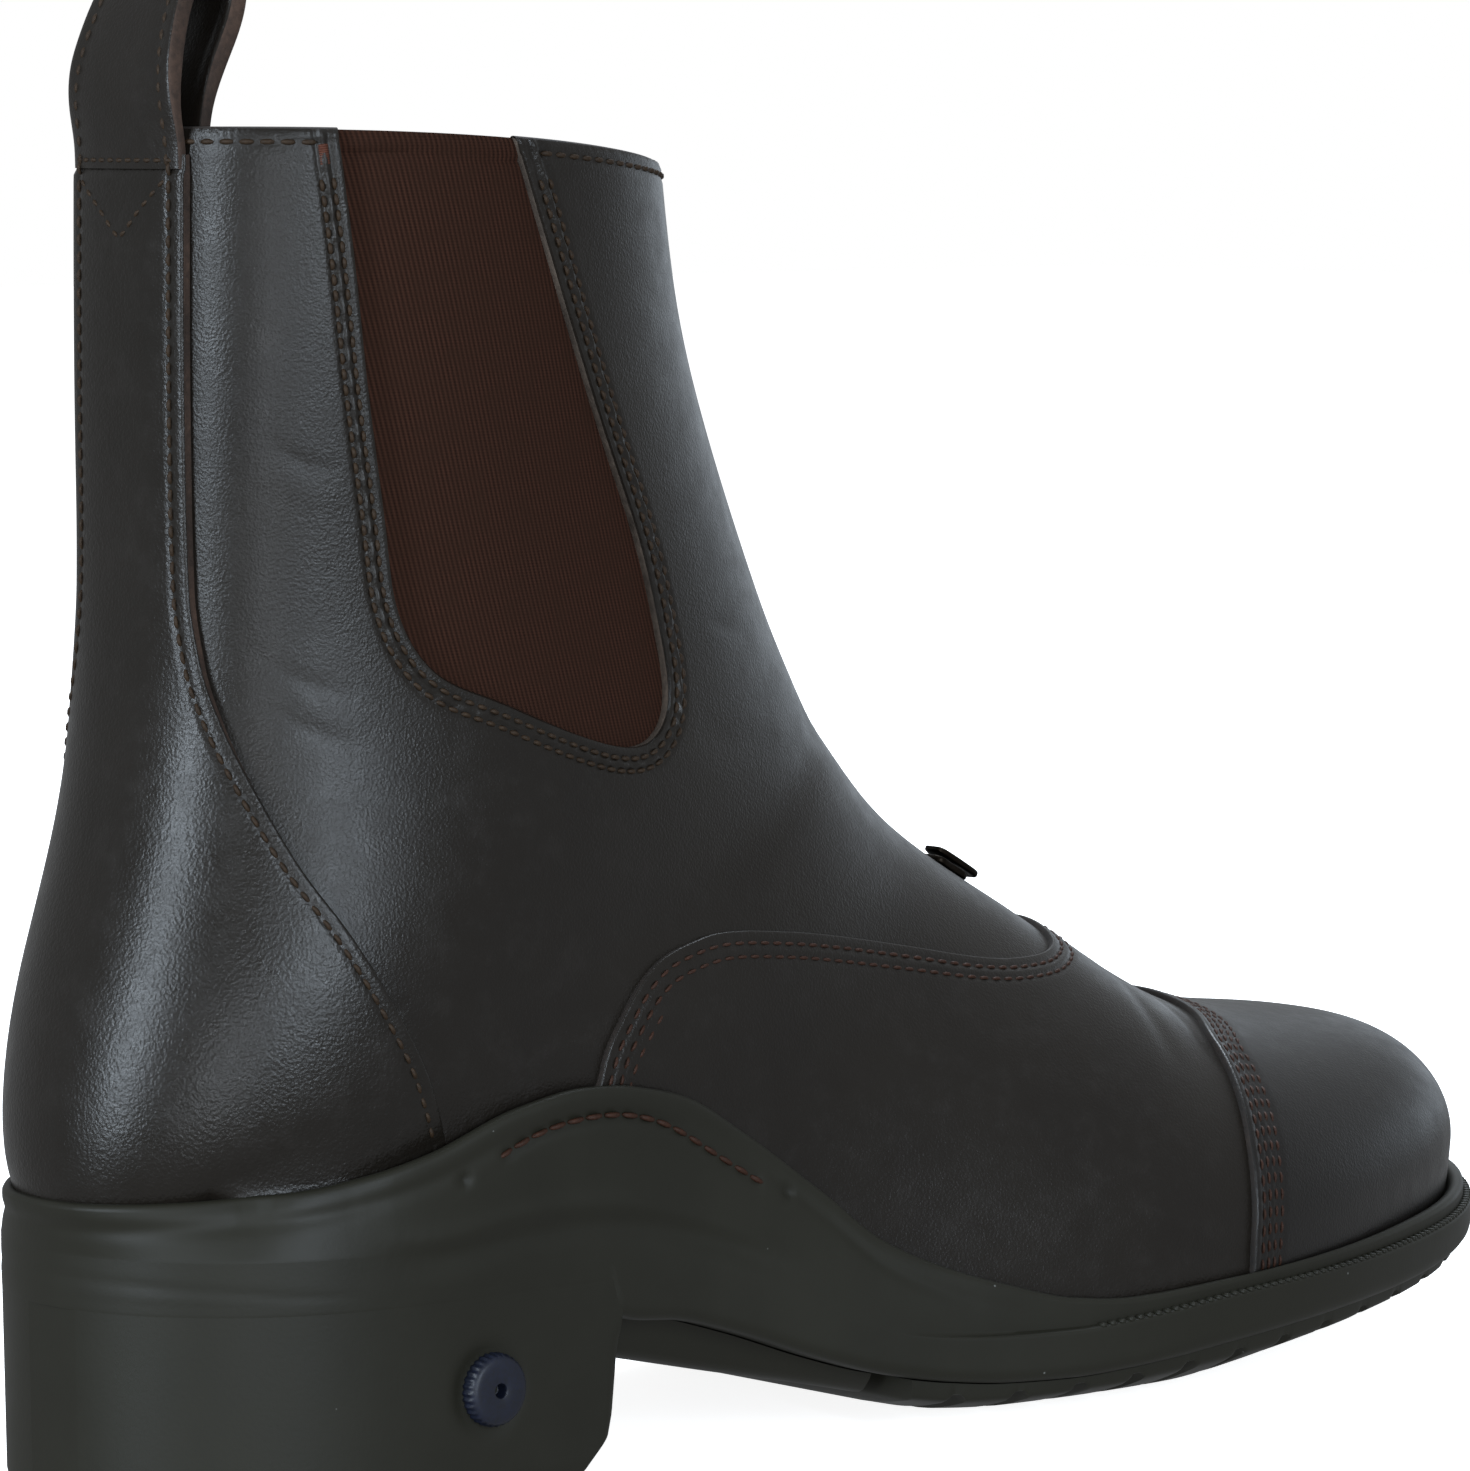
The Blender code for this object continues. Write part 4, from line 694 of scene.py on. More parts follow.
def toe_cap(finish, raw):
    """Toe cap laid over the vamp, four rows of stitches behind its edge, closed over the nose of the last."""
    edge = seam_path(CAP_EDGE, 360)
    last = np.stack(beside(*edge, np.full(360, -8.0)))

    def relief(gap, flat):
        """Four stitch channels with the leather puffed between them, behind a folded edge."""
        rows = sum(bump(gap, d, 0.32) for d in (1.9, 3.3, 4.7, 6.1))
        return 0.15 * bump(gap, 0.7, 0.6) - 0.22 * rows + np.zeros(flat.shape[:-1])

    points, out, which = overlay(edge, np.stack([np.zeros(360), last[1]]), VAMP_STEP + CAP_STEP, 70, relief)
    rim = points[-1]
    middle = (rim + rim[::-1]) / 2
    close = np.linspace(0, 1, 7)[1:]
    nose = (1 - close)[:, None, None] * rim + close[:, None, None] * middle
    nose = nose + (0.9 * np.sin(close * np.pi / 2))[:, None, None] * np.array([1.0, 0, 0])
    points = np.concatenate([points, nose])
    out = np.concatenate([out, np.broadcast_to(np.array([1.0, 0, 0]), nose.shape)])
    which = np.concatenate([which, np.zeros((6, which.shape[1]), int)])
    piece("toe_cap", points, quads(*points.shape[:2]), [finish, raw], "leather", ["upper"], which=which, out=out)
    for gap in (1.9, 3.3, 4.7, 6.1):
        sew_skin("russet", *beside(*seam_path(CAP_EDGE, 700), np.full(700, -gap)), VAMP_STEP + CAP_STEP, pitch=2.6,
                 length=1.9, width=0.5)


def back_tables(side):
    """Fan coordinates against height and girth round from the back line, from points at even steps of x."""
    heights, girths = np.linspace(38.5, 192.4, 150), np.linspace(0, 80, 161)
    back = np.linspace(HEEL_U, 1, 400)
    back_x, back_z = (spline(KNOTS, FAN[:, k], back) for k in (0, 1))
    tables = []
    for z in heights:
        first = np.interp(z, back_z, back)
        x = np.interp(z, back_z, back_x) + 0.01 + 78 * np.linspace(0, 1, 150) ** 2.4
        u, v = on_skin(x, np.full(150, z), side)
        u, v = np.append(first, u), np.append(float(side), v)
        plan = skin(u, v)
        girth = np.concatenate([[0], np.cumsum(np.hypot(*np.diff(plan[:, :2], axis=0).T))])
        tables.append((np.interp(girths, girth, u), np.interp(girths, girth, v)))
    return heights, girths, np.array(tables)


BACK = {side: back_tables(side) for side in (LATERAL, MEDIAL)}


def round_back(girth, z, side):
    """Fan coordinates at a girth from the back line and a height, straight between the table's entries."""
    heights, girths, tables = BACK[side]
    i = np.clip((z - heights[0]) / (heights[1] - heights[0]), 0, len(heights) - 1.001)
    j = np.clip(girth / girths[1], 0, len(girths) - 1.001)
    i0, j0 = i.astype(int), j.astype(int)
    p, q = i - i0, j - j0
    return [(1 - p) * (1 - q) * t[i0, j0] + p * (1 - q) * t[i0 + 1, j0] + (1 - p) * q * t[i0, j0 + 1]
            + p * q * t[i0 + 1, j0 + 1] for t in (tables[:, 0], tables[:, 1])]


def counter_place(h, s, inset=0.0):
    """Fan coordinates of the counter at height fraction h and fraction s of its half girth less an inset; and its height."""
    h, s, inset = np.broadcast_arrays(np.asarray(h, float), np.asarray(s, float), np.asarray(inset, float))
    z = 60.0 + 120.0 * h
    for _ in range(16):
        girth = np.maximum(np.abs(s) * smooth(COUNTER_EDGE[:, 0], COUNTER_EDGE[:, 1], z) - inset, 0)
        found = {side: round_back(girth, z, side) for side in (LATERAL, MEDIAL)}
        u, v = (np.where(s < 0, found[LATERAL][k], found[MEDIAL][k]) for k in range(2))
        bottom = level_of(skin(u, v)[..., 0], 3) - 2.0
        z = bottom + (STRAP_TOP - bottom) * h
    return u, v, z


def counter_share(z):
    """Share of its full thickness that the counter has at a height, less towards the rubber."""
    return 0.70 + 0.30 * blend(z, 56, 108)


def foot_tuck(u, v, z):
    """Draw of the counter's foot in behind the rubber rim, full at the rim and gone 12 mm over it, least at the back."""
    x = skin(u, v)[..., 0]
    return (0.25 + 1.05 * blend(x, 6, 24)) * np.clip(1 - (z - level_of(x, 3)) / 12.0, 0, 1) ** 2


def counter(finish, raw):
    """Counter and back strap: a sheet round the back by height and girth, its cut edge showing two layers."""
    edge = [(0.0, -0.3), (0.0, 0.45), (0.22, 0.85), (0.22, 0.98), (0.0, 1.15), (0.0, COUNTER_STEP - 0.35),
            (0.15, COUNTER_STEP - 0.1), (0.45, COUNTER_STEP), (0.9, COUNTER_STEP), (1.5, COUNTER_STEP),
            (1.9, COUNTER_STEP), (2.3, COUNTER_STEP), (2.7, COUNTER_STEP), (3.2, COUNTER_STEP)]
    inner = np.linspace(-1, 1, 91)[1:-1]
    s = np.concatenate([np.full(14, -1.0), inner, np.full(14, 1.0)])
    inset = np.concatenate([[e[0] for e in edge], 3.2 * np.abs(inner), [e[0] for e in edge[::-1]]])
    lift = np.concatenate([[e[1] for e in edge], np.full(89, COUNTER_STEP), [e[1] for e in edge[::-1]]])
    h = np.linspace(0, 1, 150)
    u, v, z = counter_place(h[:, None], s[None], inset[None])
    half = smooth(COUNTER_EDGE[:, 0], COUNTER_EDGE[:, 1], z)
    gap = half * (1 - np.abs(s))[None] + inset[None]
    lift = (lift[None] - 0.22 * bump(gap, 2.3, 0.45) * (np.abs(s) > 0.5)) * counter_share(z)
    lift = lift - 0.55 * blend(z, 186.3, 187.6) - foot_tuck(u, v, z)

    def eased(values):
        """Running mean of nine rows where the sections gather at the foot of the back line, none above."""
        wide = np.pad(values, ((4, 4), (0, 0), (0, 0)), "reflect", reflect_type="odd")
        mean = sum(wide[k:k + 150] for k in range(9)) / 9
        return values + (1 - blend(z, 62, 92))[..., None] * (mean - values)

    out = unit(eased(normal(u, v)))
    which = np.zeros((149, len(s) - 1), int)
    which[:, :5], which[:, -5:] = 1, 1
    piece("counter", eased(skin(u, v)) + lift[..., None] * out, quads(150, len(s)), [finish, raw], "leather", ["counter"],
          which=which, out=out)
    run = np.linspace(0.02, 0.995, 900)
    for side in (LATERAL, MEDIAL):
        u, v, z = counter_place(run, side, 2.3)
        sew_skin("brown", u, v, COUNTER_STEP * counter_share(z) - foot_tuck(u, v, z), pitch=2.5, length=1.95, width=0.68)
    for line in ([(-9.4, 186.0), (0.0, 177.7), (9.4, 186.0)],):
        girth = np.concatenate([np.linspace(line[k][0], line[k + 1][0], 80) for k in range(2)])
        z = np.concatenate([np.linspace(line[k][1], line[k + 1][1], 80) for k in range(2)])
        found = {side: round_back(np.abs(girth), z, side) for side in (LATERAL, MEDIAL)}
        u, v = (np.where(girth < 0, found[LATERAL][k], found[MEDIAL][k]) for k in range(2))
        for part in (slice(0, 80), slice(80, 160)):
            sew_skin("brown", u[part], v[part], COUNTER_STEP, pitch=2.0, length=1.6, width=0.62)


def pull_loop(finish, raw):
    """Pull loop: a strap section with soft corners carried along its middle line, stitched near both edges."""
    along = np.arange(len(LOOP_LINE))
    at = np.linspace(0.55, along[-1], 150)
    x, z, half = (spline(along, LOOP_LINE[:, k], at) for k in range(3))
    size = np.hypot(np.gradient(x), np.gradient(z))
    side_x, side_z = -np.gradient(z) / size, np.gradient(x) / size
    thick = 2.0 + 0.9 * blend(at, 1.5, 3.2) * (1 - blend(at, 8.0, 9.6))
    across = np.array([-1, -1, -0.985, -0.955, -0.90, -0.82, -0.74, -0.66, -0.4, 0,
                       0.4, 0.66, 0.74, 0.82, 0.90, 0.955, 0.985, 1, 1])
    face = np.array([0, 0.55, 0.84, 0.96, 1.0, 0.96, 0.84, 0.98, 1.0, 1.0, 1.0, 0.98, 0.84, 0.96, 1.0, 0.96, 0.84, 0.55, 0])
    outer = np.concatenate([across, across[::-1][1:-1]])
    lift = np.concatenate([face, -np.clip(face[::-1][1:-1] + 0.05, 0, 1)])
    face_out = 0.55 + 0.45 * blend(at, 1.2, 3.0)
    depth = np.where(lift[None] > 0, lift[None] * face_out[:, None], lift[None] * (thick[:, None] - 1.0))
    girth = np.linspace(0, 14, 60)
    plan = skin(*round_back(girth, np.full(60, 188.0), LATERAL))

    def bent(across, x, z):
        """Strap point at a distance across, wrapped round the back of the collar near the feet and flat above."""
        wrap = 1 - blend(z, 190, 204)
        round_y = np.sign(across) * np.interp(np.abs(across), girth, np.abs(plan[:, 1]))
        round_x = np.interp(np.abs(across), girth, plan[:, 0] - plan[0, 0])
        return np.stack([x + wrap * round_x, (1 - wrap) * across + wrap * round_y, z], -1)

    points = bent(half[:, None] * outer[None], x[:, None] + depth * side_x[:, None], z[:, None] + depth * side_z[:, None])
    count = len(outer)
    j = np.arange(count // 2 - 1)
    caps = [first + np.stack([j, j + 1, count - 2 - j, count - 1 - j], 1) for first in (0, 149 * count)]
    faces = np.concatenate([quads(150, count, True)] + caps)
    cut = np.abs(outer) > 0.97
    which = np.concatenate([np.tile((cut & np.roll(cut, -1)).astype(int), 149), np.ones(len(j) * 2, int)])
    piece("pull_loop", points, faces, [finish, raw], "leather", ["pull_loop"], which=which)
    normals = np.stack([side_x, np.zeros(150), side_z], 1)
    for w in (-1, 1):
        row = bent(w * (half - 2.3), x + 0.9 * face_out * side_x, z + 0.9 * face_out * side_z)
        sew("brown", row, normals, pitch=2.5, length=1.95, width=0.66)
    foot = np.linspace(-1, 1, 60)
    row = bent(foot * (half[6] - 1.0), np.full(60, x[4] + face_out[4] * side_x[4]), np.full(60, 188.6))
    sew("brown", row, np.broadcast_to(np.array([-1.0, 0, 0]), row.shape), pitch=1.9, length=1.55, width=0.66)


def gusset(side, label, finish):
    """Elastic panel behind the window: rows of constant fraction up to the collar, its UV in millimetres for the ribs."""
    wu, wv = window_path(side, 400)
    border = skin(wu, wv)
    foot = int(np.argmin(border[:, 2]))
    h = np.linspace(0, 1, 110)
    rear = np.stack([np.interp(h, np.linspace(0, 1, foot + 1), column[foot::-1]) for column in (wu, wv)], 1)
    front = np.stack([np.interp(h, np.linspace(0, 1, 400 - foot), column[foot:]) for column in (wu, wv)], 1)
    c = np.linspace(-0.06, 1.06, 90)
    grid = rear[:, None] * (1 - c)[None, :, None] + front[:, None] * c[None, :, None]
    u, v = np.minimum(grid[..., 0], 1.0), grid[..., 1]
    flat, out = skin(u, v), normal(u, v)
    hem = nearest(flat, skin(1.0, side * np.linspace(0.2, 0.9, 400)))
    lift = -1.55 + 0.35 * (1 - blend(hem, 2.6, 3.4)) - 0.45 * bump(hem, 3.0, 0.40) - 0.4 * (1 - rolled(hem, 0.7))
    uv = np.stack([flat[..., 0] + 0.28 * (flat[..., 2] - 206), flat[..., 2]], -1)
    grid_points = flat + lift[..., None] * out
    under = flat - SUBSTANCE * out
    points = np.concatenate([grid_points, under[-1:]])
    piece("gusset_" + label, points, quads(*points.shape[:2]), [finish], "elastic", ["gusset_" + label],
          uv=np.concatenate([uv, uv[-1:]]), out=np.concatenate([out, out[-1:]]))


# ---- Sole ----

# Moulded wing and stitched seam at the waist of the sole, length against height
WING = np.array([(29.8, 38.8), (43.3, 37.7), (56.2, 39.2), (65.6, 39.7), (75.0, 39.2), (88.5, 36.4),
                 (100.2, 32.3), (110.1, 27.8)])
WAIST_SEAM = np.array([(52.6, 47.8), (60.0, 50.7), (67.5, 52.1), (75.1, 52.2), (84.6, 49.8), (92.4, 45.5), (103.1, 39.3)])


def contour(z, side):
    """Plan curve of the skin at one height on one side, from toe to heel."""
    u = np.linspace(0, 1, 700)
    base_x, base_z, top_x, top_z = (spline(KNOTS, FAN[:, k], u) for k in range(4))
    a = (z - base_z) / (top_z - base_z)
    keep = (a >= 0) & (a <= 1)
    return np.stack([(base_x + a * (top_x - base_x))[keep], width_along(u[keep], a[keep], side)], 1)


def reach(points, inward, heights, side):
    """Distance from each sole edge point inward to the skin at its own height, where the two plan lines cross."""
    found = np.zeros(len(points))
    for k, (point, way, z) in enumerate(zip(points, inward, heights)):
        line = contour(z, side)
        start, step = line[:-1], np.diff(line, axis=0)
        cross = way[0] * step[:, 1] - way[1] * step[:, 0]
        safe = np.where(np.abs(cross) < 1e-9, 1e-9, cross)
        gap = start - point
        r = (gap[:, 0] * step[:, 1] - gap[:, 1] * step[:, 0]) / safe
        s = (gap[:, 0] * way[1] - gap[:, 1] * way[0]) / safe
        hit = r[(s >= -1e-6) & (s <= 1 + 1e-6) & (r > -8) & (r < 16)]
        found[k] = hit.min() if len(hit) else np.nan
    good = ~np.isnan(found)
    return np.interp(np.arange(len(found)), np.flatnonzero(good), found[good])


def line_gap(x, z, line, fade):
    """Distance in the side view to a smooth line, and a weight that fades towards the line's ends."""
    along = np.concatenate([[0], np.cumsum(np.hypot(*np.diff(line, axis=0).T))])
    at = np.linspace(0, along[-1], 120)
    curve = np.stack([spline(along, line[:, k], at) for k in range(2)], 1)
    gap = np.sqrt((x[..., None] - curve[:, 0]) ** 2 + (z[..., None] - curve[:, 1]) ** 2)
    k = gap.argmin(-1)
    return gap.min(-1), blend(at[k], 0, fade) * (1 - blend(at[k], along[-1] - fade, along[-1]))


def sole_unit(finish):
    """Moulded cup: a profile of inset and height carried round the sole edge, with welt, lip, wing and seam groove."""
    turn = np.linspace(0, np.pi, 90)
    station = 0.35 + (TIP_X - 0.9) * (1 - np.cos(turn)) / 2
    wall = {}
    for side in (LATERAL, MEDIAL):
        points, inward = edge_stations(station, side)
        proud = VAMP_STEP * blend(station, 27, 37) + CAP_STEP * blend(station, 182, 197)
        wall[side] = reach(points, inward, level_of(station, 3), side) - 0.2 - proud
    count = 900
    index = np.linspace(0, len(EDGE), count, endpoint=False).astype(int)
    plan, inward = EDGE[index], INWARD[index]
    x, lateral = plan[:, 0], index <= TIP_INDEX
    meet = np.where(lateral, np.interp(x, station, wall[LATERAL]), np.interp(x, station, wall[MEDIAL]))
    under = level_of(x + 2.2 * (1 - blend(x, 78, 92)), 1)
    step, rim = level_of(x, 2), level_of(x, 3)
    front = blend(x, 122, 152)
    lip = (meet - RIM) * (1 - front) + LEDGE * front
    fore = blend(x, 74.4, 77.6)
    rows = [(0.12 + 2.5 * fore, under), (0.10 + 1.3 * fore, under + 0.12), (0.08 + 0.62 * fore, under + 0.5),
            (0.06 + 0.2 * fore, under + 1.1), (0.04, under + 1.9)]
    rows += [(0.0, under + 2.4 + (step - 0.7 - under - 2.4) * t) for t in np.linspace(0, 1, 8)]
    rows += [(0.0, step - 0.35), (0.10 * front, step - 0.12), (0.4 * front, step + 0.03), (0.95 * front, step + 0.10)]
    for t in np.linspace(0.04, 1, 26):
        slope = lip * ((1 - front) * t ** 1.15 + front)
        rows.append((slope, step + 0.12 + (rim - 0.7 - step - 0.12) * t))
    for q, dz in ((0.04, -0.42), (0.12, -0.16), (0.26, 0.04), (0.45, 0.12), (0.65, 0.05), (0.83, -0.22),
                  (0.95, -0.75), (1.0, -1.6)):
        rows.append((lip + q * (meet - lip), rim + dz))
    floor = UPPER_INSET + (TOE_INSET - UPPER_INSET) * blend(x, 190, 262) - 0.8
    rows.append((np.maximum(floor, meet + 0.2), np.minimum(feather(np.clip(x, 3.5, 276.5)) - 1.7, rim - 2.0)))
    inset = np.stack([np.broadcast_to(r[0], count) for r in rows])
    z = np.stack([np.broadcast_to(r[1], count) for r in rows])
    side_rows = np.zeros(len(rows))
    side_rows[5:43] = 1
    wide = np.broadcast_to(x, z.shape)
    ridge, ridge_fade = line_gap(wide, z, WING, 14)
    trough, trough_fade = line_gap(wide, z, WING - np.array([0, 2.9]), 16)
    seam_gap, seam_fade = line_gap(wide, z, WAIST_SEAM, 2)
    relief = -0.42 * bump(ridge, 0, 1.6) * ridge_fade + 0.52 * bump(trough, 0, 1.9) * trough_fade
    relief += 0.6 * bump(seam_gap, 0, 0.9) * seam_fade
    relief += (0.24 * bump(rim - z, 3.7, 1.2) - 0.12 * bump(rim - z, 1.8, 1.2)) * (1 - front)
    for px, pz in ((46.7, 45.5), (107.1, 37.7)):      # the needle's first and last holes
        relief += 0.8 * np.exp(-((wide - px) ** 2 + (z - pz) ** 2) / 0.95 ** 2)
    relief += 0.10 * bump(z, 33.0 - 0.1 * wide, 0.7) * (1 - blend(wide, 40, 66))
    inset = inset + relief * side_rows[:, None]
    flat = plan[None] + inset[..., None] * inward[None]
    points = np.concatenate([flat, z[..., None]], -1)
    loops_piece("sole_unit", points, finish, "rubber", ["sole_unit"], sharp=50)
    for side in (LATERAL, MEDIAL):
        along = np.concatenate([[0], np.cumsum(np.hypot(*np.diff(WAIST_SEAM, axis=0).T))])
        at = np.linspace(0, along[-1], 200)
        sx, sz = (spline(along, WAIST_SEAM[:, k], at) for k in range(2))
        base, into = edge_stations(sx, side)
        top = np.interp(sx, station, wall[side]) - RIM
        t = np.clip((sz - level_of(sx, 2)) / (level_of(sx, 3) - 0.7 - level_of(sx, 2)), 0, 1)
        spot = base + (top * t ** 1.15 + 0.32)[:, None] * into
        outward = np.column_stack([-into, np.zeros(200)])
        sew("russet", np.column_stack([spot, sz]), outward, pitch=3.4, length=3.1, width=0.85)


def welt_notches(finish):
    """Row of small moulded pads along the welt's lower corner, a pad and a gap to every 1.8 mm of the sole edge."""
    along = np.concatenate([[0], np.cumsum(np.hypot(*np.diff(EDGE, axis=0).T))])
    at = np.arange(0, along[-1], 1.8)
    x, y, nx, ny = (np.interp(at, along, c) for c in (EDGE[:, 0], EDGE[:, 1], INWARD[:, 0], INWARD[:, 1]))
    keep = x > 160
    x, y, nx, ny = x[keep], y[keep], nx[keep], ny[keep]
    z = level_of(x, 2) + 0.12
    centre = np.column_stack([x + 0.75 * nx, y + 0.75 * ny, z])
    way, up = np.column_stack([nx, ny, np.zeros(len(x))]), np.broadcast_to(np.array([0, 0, 1.0]), centre.shape)
    points, faces = beads(centre, way, up, np.full(len(x), 1.35), np.full(len(x), 1.15), np.full(len(x), 0.8))
    piece("welt_notches", points, faces, [finish], "rubber", sharp=60)


def beads(centre, way, up, length, width, height):
    """Rounded bars: a superellipse section that shrinks to both ends, one to each place, way and upright."""
    along, turn = np.meshgrid(np.array([-1, -0.9, -0.6, 0.6, 0.9, 1]), np.linspace(0, 2 * np.pi, 8, endpoint=False),
                              indexing="ij")
    size = np.sqrt(1 - 0.9 * np.abs(along) ** 6) * 0.5
    square = lambda a: np.sign(a) * np.abs(a) ** 0.6
    side = np.cross(up, way)
    put = lambda vectors, amount: vectors[:, None, None, :] * amount[..., None]
    points = (centre[:, None, None, :] + put(way, along[None] * length[:, None, None] / 2)
              + put(side, size * square(np.cos(turn)) * width[:, None, None])
              + put(up, size * square(np.sin(turn)) * height[:, None, None]))
    one = np.concatenate([quads(6, 8, True), [[0, 1, 2, 3], [0, 3, 4, 7], [4, 5, 6, 7],
                                              [43, 42, 41, 40], [47, 44, 43, 40], [47, 46, 45, 44]]])
    return points, (one[None] + 48 * np.arange(len(centre))[:, None, None]).reshape(-1, 4)


def heel(finish):
    """Heel block: the sole edge's plan at rising levels, rounded below, leaning breast, chamfer, dish round the plug."""
    x = np.concatenate([0.4 + 20 * (1 - np.cos(np.linspace(0, np.pi / 2, 40))), np.linspace(20.6, HEEL_LENGTH - 2, 88),
                        HEEL_LENGTH - 2 * (1 - np.sin(np.linspace(0, np.pi / 2, 9)[1:]))])
    corner = 1.1 * (1 - rolled(HEEL_LENGTH - x, 1.8)) * (x > HEEL_LENGTH - 1.8)
    loops = []
    for level, inset in [(0.0, 3.0), (0.0, 2.2), (0.25, 1.5), (0.7, 1.05), (1.4, 0.8)] + [
            (z, 0.62 - 0.5 * z / HEEL_TOP) for z in np.linspace(2.2, HEEL_TOP + 0.5, 26)]:
        dish = 0.55 * bump(np.hypot(x - PLUG_X, level - PLUG_Z), PLUG_RADIUS + 0.2, 1.5)
        turned = corner * (1 - blend(level, 17, 23))
        loop = sides(x, {LATERAL: inset + turned + dish, MEDIAL: inset + turned}, level)
        fall = 1 - min(level / HEEL_TOP, 1)
        loop[:, 0] -= BREAST_LEAN * fall * blend(loop[:, 0], 30, HEEL_LENGTH)
        chamfer = np.clip(loop[:, 0] - (HEEL_LENGTH - BREAST_LEAN - 5.2), 0, None)
        loop[:, 2] = np.where(level < 10, np.maximum(level, chamfer + level * 0.35), level)
        loops.append(loop)
    loops_piece("heel", loops, finish, "rubber", ["heel"], sharp=48)


def tread(finish):
    """Forefoot tread: flat in the middle, rising to its edge, cut by cross grooves with rounded lips."""
    start, end = 128.6, 280.5
    x = np.linspace(start, end, 300)
    off = np.abs((x - start - 8.0 + 5.5) % 11.0 - 5.5)
    depth = 1.9 * (1 - blend(off, 0.8, 1.7)) * ((x > start + 5) & (x < end - 9))
    middle, edge = (smooth(TREAD_LEVELS[:, 0], TREAD_LEVELS[:, k], x) for k in (1, 2))
    top = level_of(x, 1) - 0.2
    narrow = 14.0 * (1 - blend(x, 255, end)) + 4.5
    rows = [sides(x, 3.0 + (narrow - 3.0) * (1 - t), np.minimum(middle + (edge - middle) * t ** 1.6 + depth, top - 0.3))
            for t in np.linspace(0, 0.94, 8)]
    rows += [sides(x, 2.75, np.minimum(edge + 0.3 + depth * 0.45, top - 0.2)),
             sides(x, 2.5, np.minimum(edge + 0.9 + depth * 0.2, top - 0.1)), sides(x, 2.4, top)]
    loops_piece("forefoot_tread", rows, finish, "rubber", ["forefoot_tread"], sharp=48)


def waist_plate(finish):
    """Plate under the arch with a rounded edge, its underside rising to the heel breast."""
    x = np.linspace(79.0, 124.4, 70)
    low = smooth([78, 87, 101, 115, 127], [15.6, 13.6, 10.4, 7.4, 4.6], x)
    rows = [sides(x, 13.0, low), sides(x, 10.4, low + 0.25), sides(x, 9.2, low + 0.8), sides(x, 8.4, low + 1.6),
            sides(x, 7.4, np.maximum(low + 2.4, level_of(x, 1) - 1.2)), sides(x, 7.0, lambda own: level_of(own, 1) - 0.1)]
    loops_piece("waist_plate", rows, finish, "rubber", ["waist_plate"], sharp=48)


def insole(finish):
    """Insole on the cup's floor: the inset sole edge with a rolled upper border."""
    x = 6.6 + 266.0 * (1 - np.cos(np.linspace(0.10, np.pi - 0.10, 110))) / 2
    inset = UPPER_INSET + (TOE_INSET - UPPER_INSET) * blend(x, 190, 262) + 3.2
    rows = [sides(x, inset + more, lambda own, up=up: feather(own) + up)
            for more, up in ((0.0, -1.35), (0.0, 2.3), (0.2, 2.8), (0.6, 3.1), (1.4, 3.2), (6.0, 3.0))]
    loops_piece("insole", rows, finish, "insole", ["insole"], sharp=60)


def heel_plug(finish):
    """Plug turned about its own axis: centre hole, flat face, rounded shoulder and a finely ribbed rim."""
    profile = np.array([(0.0, 2.2), (0.55, 2.2), (0.95, 1.9), (1.0, 0.4), (1.12, 0.12), (1.35, 0.02), (2.4, 0.0), (3.7, 0.0),
                        (4.3, 0.06), (4.65, 0.2), (4.9, 0.45), (5.1, 0.85), (5.2, 1.3), (5.2, 2.2), (5.2, 3.4), (5.2, 7.4), (0.0, 7.5)])
    turn = np.linspace(0, 2 * np.pi, 192, endpoint=False)
    ribbed = np.where((profile[:, 1] > 0.8) & (profile[:, 0] > 5), 0.11, 0.0)
    radius = profile[:, :1] + ribbed[:, None] * np.cos(32 * turn)[None]
    y = edge_stations(np.array([PLUG_X]), LATERAL)[0][0, 1] + 0.4 - 2.0 + profile[:, 1]
    points = np.stack([PLUG_X + radius * np.cos(turn), np.broadcast_to(y[:, None], radius.shape),
                       PLUG_Z + radius * np.sin(turn)], -1)
    piece("heel_plug", points, quads(len(profile), 192, True), [finish], "plug", ["heel_plug"], sharp=35)


# ---- Zip ----

def zip_half(side, label, tape, metal):
    """Half of the open zip: a woven tape behind the facing, folded flat, and its row of teeth."""
    u = np.linspace(SLIDER_U - 0.012, 0.992, 170)[:, None]
    widths = (1.3, 1.6, 3.0, 4.6, 6.4, 8.2, 10.0, 11.7, 12.0)
    v = np.concatenate([ridge_place(u, w, side) for w in widths], axis=1)
    u = np.broadcast_to(u, v.shape)
    out = normal(u, v)
    outer, inner = skin(u, v) - 2.75 * out, skin(u, v) - 3.45 * out
    ring = np.concatenate([outer, inner[:, ::-1]], 1)
    length = np.concatenate([[0], np.cumsum(np.linalg.norm(np.diff(outer[:, 0], axis=0), axis=1))])
    across = np.concatenate([widths, widths[::-1]])
    uv = np.stack(np.broadcast_arrays(across[None], length[:, None]), -1)
    piece("zip_tape_" + label, ring, quads(170, ring.shape[1], True), [tape], "zip_tape", ["zip_tape_" + label], uv=uv)
    line = np.linspace(SLIDER_U + 0.012, 0.985, 800)
    tu, _ = even_uv(line, np.zeros(800), 96)
    tv = ridge_place(tu, 1.75, side)
    centre, up = skin(tu, tv) - 2.05 * normal(tu, tv), normal(tu, tv)
    way = unit(skin(tu, ridge_place(tu, 2.6, side)) - skin(tu, ridge_place(tu, 0.9, side)))
    full = np.ones(96)
    points, faces = beads(centre, way, up, 2.1 * full, 1.15 * full, 1.35 * full)
    piece("zip_teeth_" + label, points, faces, [metal], "zip_metal", ["zip_teeth_" + label], sharp=60)


